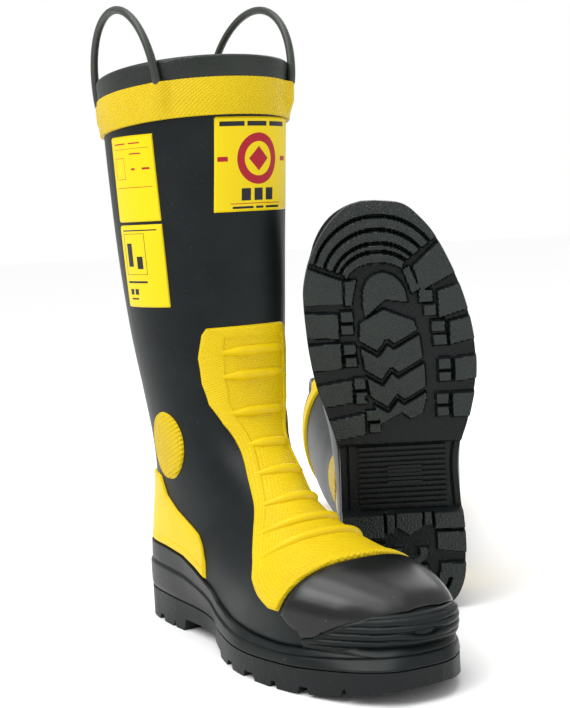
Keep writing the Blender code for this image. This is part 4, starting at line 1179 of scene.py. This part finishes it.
ladderTree = makeLadderTree()
barParts, barFaces = [], []
for bars, first, pitch, lowS, highS, size in (
        (ladder["bars"], ladder["firstAt"], ladder["pitch"], ladder["left"], ladder["right"],
         ladder["barHeight"]),
        (ladder["shortBars"], ladder["shortFirst"], ladder["shortPitch"], ladder["shortLeft"],
         ladder["shortRight"], ladder["shortHeight"])):
    middle = (lowS + highS) / 2
    bar, faces = runTree(ladderTree, [(0, 0, 0)], {
        "Count": bars, "Start": (first, middle, sole["waist"] - size / 2 + 0.3), "Offset": (pitch, 0.0, 0.0),
        "Bar Size": (ladder["barWidth"], highS - lowS, size), "Finish": finish["soleRubber"]})
    start = sum(len(b) for b in barParts)
    barParts.append(bar)
    barFaces += [[i + start for i in f] for f in faces]
place("waistLadder", np.concatenate(barParts), barFaces, finish["soleRubber"], [], None, 30)
print("sole made")

inside = {"midsole_filler": "soleRubber", "steel_toe_cap": "plateSteel", "toe_cap_strip": "loopRubber",
          "heel_counter": "fibreBoard", "shank": "plateSteel", "steel_midsole": "plateSteel",
          "insole_board": "fibreBoard",
          "footbed": "footbedFoam"}
for side in sides:
    for node, look in inside.items():
        part = bpy.data.objects[f"{side}_{node}"]
        part.data.materials.clear()
        part.data.materials.append(finish[look])
print("inner parts painted")

studio = {"floor": (0.97, 0.97, 0.97), "floorDeep": (0.965, 0.965, 0.965), "half": 9, "world": 0.62,
          "sun": 1.45, "key": 14.0, "fill": 3.0, "back": 9.0, "top": 8.0}
floorMesh = bpy.data.meshes.new("studioFloor")
floorMesh.from_pydata([(x * studio["half"], y * studio["half"], 0) for x,
                       y in ((-1, -1), (1, -1), (1, 1), (-1, 1))], [], [(0, 1, 2, 3)])
floor = bpy.data.objects.new("studioFloor", floorMesh)
bpy.context.scene.collection.objects.link(floor)
floorMesh.materials.append(rubber("floorPaper", {"colour": studio["floor"], "deep": studio["floorDeep"],
                                                 "rough": 0.8, "bump": 0.05,
                                                 "broad": 2}))
world = bpy.data.worlds.new("softRoom")
world.use_nodes = True
tree = world.node_tree
ray, glow = tree.nodes.new("ShaderNodeLightPath"), tree.nodes.new("ShaderNodeMapRange")
tree.links.new(ray.outputs["Is Camera Ray"], glow.inputs["Value"])
setValues(glow, {"To Min": studio["world"], "To Max": 1.0})
tree.links.new(glow.outputs[0], tree.nodes["Background"].inputs["Strength"])
tree.nodes["Background"].inputs["Color"].default_value = (1, 1, 1, 1)
bpy.context.scene.world = world
bpy.context.scene.view_settings.view_transform = "Standard"
sky = bpy.data.lights.new("softSun", "SUN")
sky.energy, sky.angle = studio["sun"], math.radians(50)
skyObject = bpy.data.objects.new("softSun", sky)
skyObject.rotation_euler = (math.radians(14), math.radians(-22), 0)
bpy.context.scene.collection.objects.link(skyObject)
for name, spot, size, power in (("keyLight", (-1.3, -1.1, 1.5), 1.2, studio["key"]),
                                ("fillLight", (1.5, -1.0, 0.9), 1.4, studio["fill"]),
                                ("backLight", (0.6, 1.4, 1.4), 1.2, studio["back"]),
                                ("topLight", (0.0, -0.1, 1.9), 1.5, studio["top"])):
    lamp = bpy.data.lights.new(name, "AREA")
    lamp.size, lamp.energy = size, power
    lightObject = bpy.data.objects.new(name, lamp)
    lightObject.location = spot
    lightObject.rotation_euler = (Vector((0, 0, 0.2)) - Vector(spot)).to_track_quat("-Z", "Y").to_euler()
    bpy.context.scene.collection.objects.link(lightObject)

view = {"back": (0.052, -1.023, 0.301), "pitch": -5.95, "roll": -3.0, "lens": 71.03}
pitch, roll = math.radians(view["pitch"]), math.radians(view["roll"])
look, right, up = Vector((0, 1, 0)), Vector((1, 0, 0)), Vector((0, 0, 1))
aimed = look * math.cos(pitch) + up * math.sin(pitch)
tipped = up * math.cos(pitch) - look * math.sin(pitch)
rolledRight = right * math.cos(roll) + tipped * math.sin(roll)
rolledUp = tipped * math.cos(roll) - right * math.sin(roll)
lens = bpy.data.cameras.new("bootCamera")
lens.lens, lens.sensor_width, lens.sensor_height, lens.sensor_fit = view["lens"], 36, 36, "AUTO"
camera = bpy.data.objects.new("bootCamera", lens)
bpy.context.scene.collection.objects.link(camera)
turned = Matrix((rolledRight, rolledUp, -aimed)).transposed().to_4x4()
camera.matrix_world = Matrix.Translation(Vector(pair["rightAt"]) + Vector(view["back"])) @ turned
bpy.context.scene.camera = camera
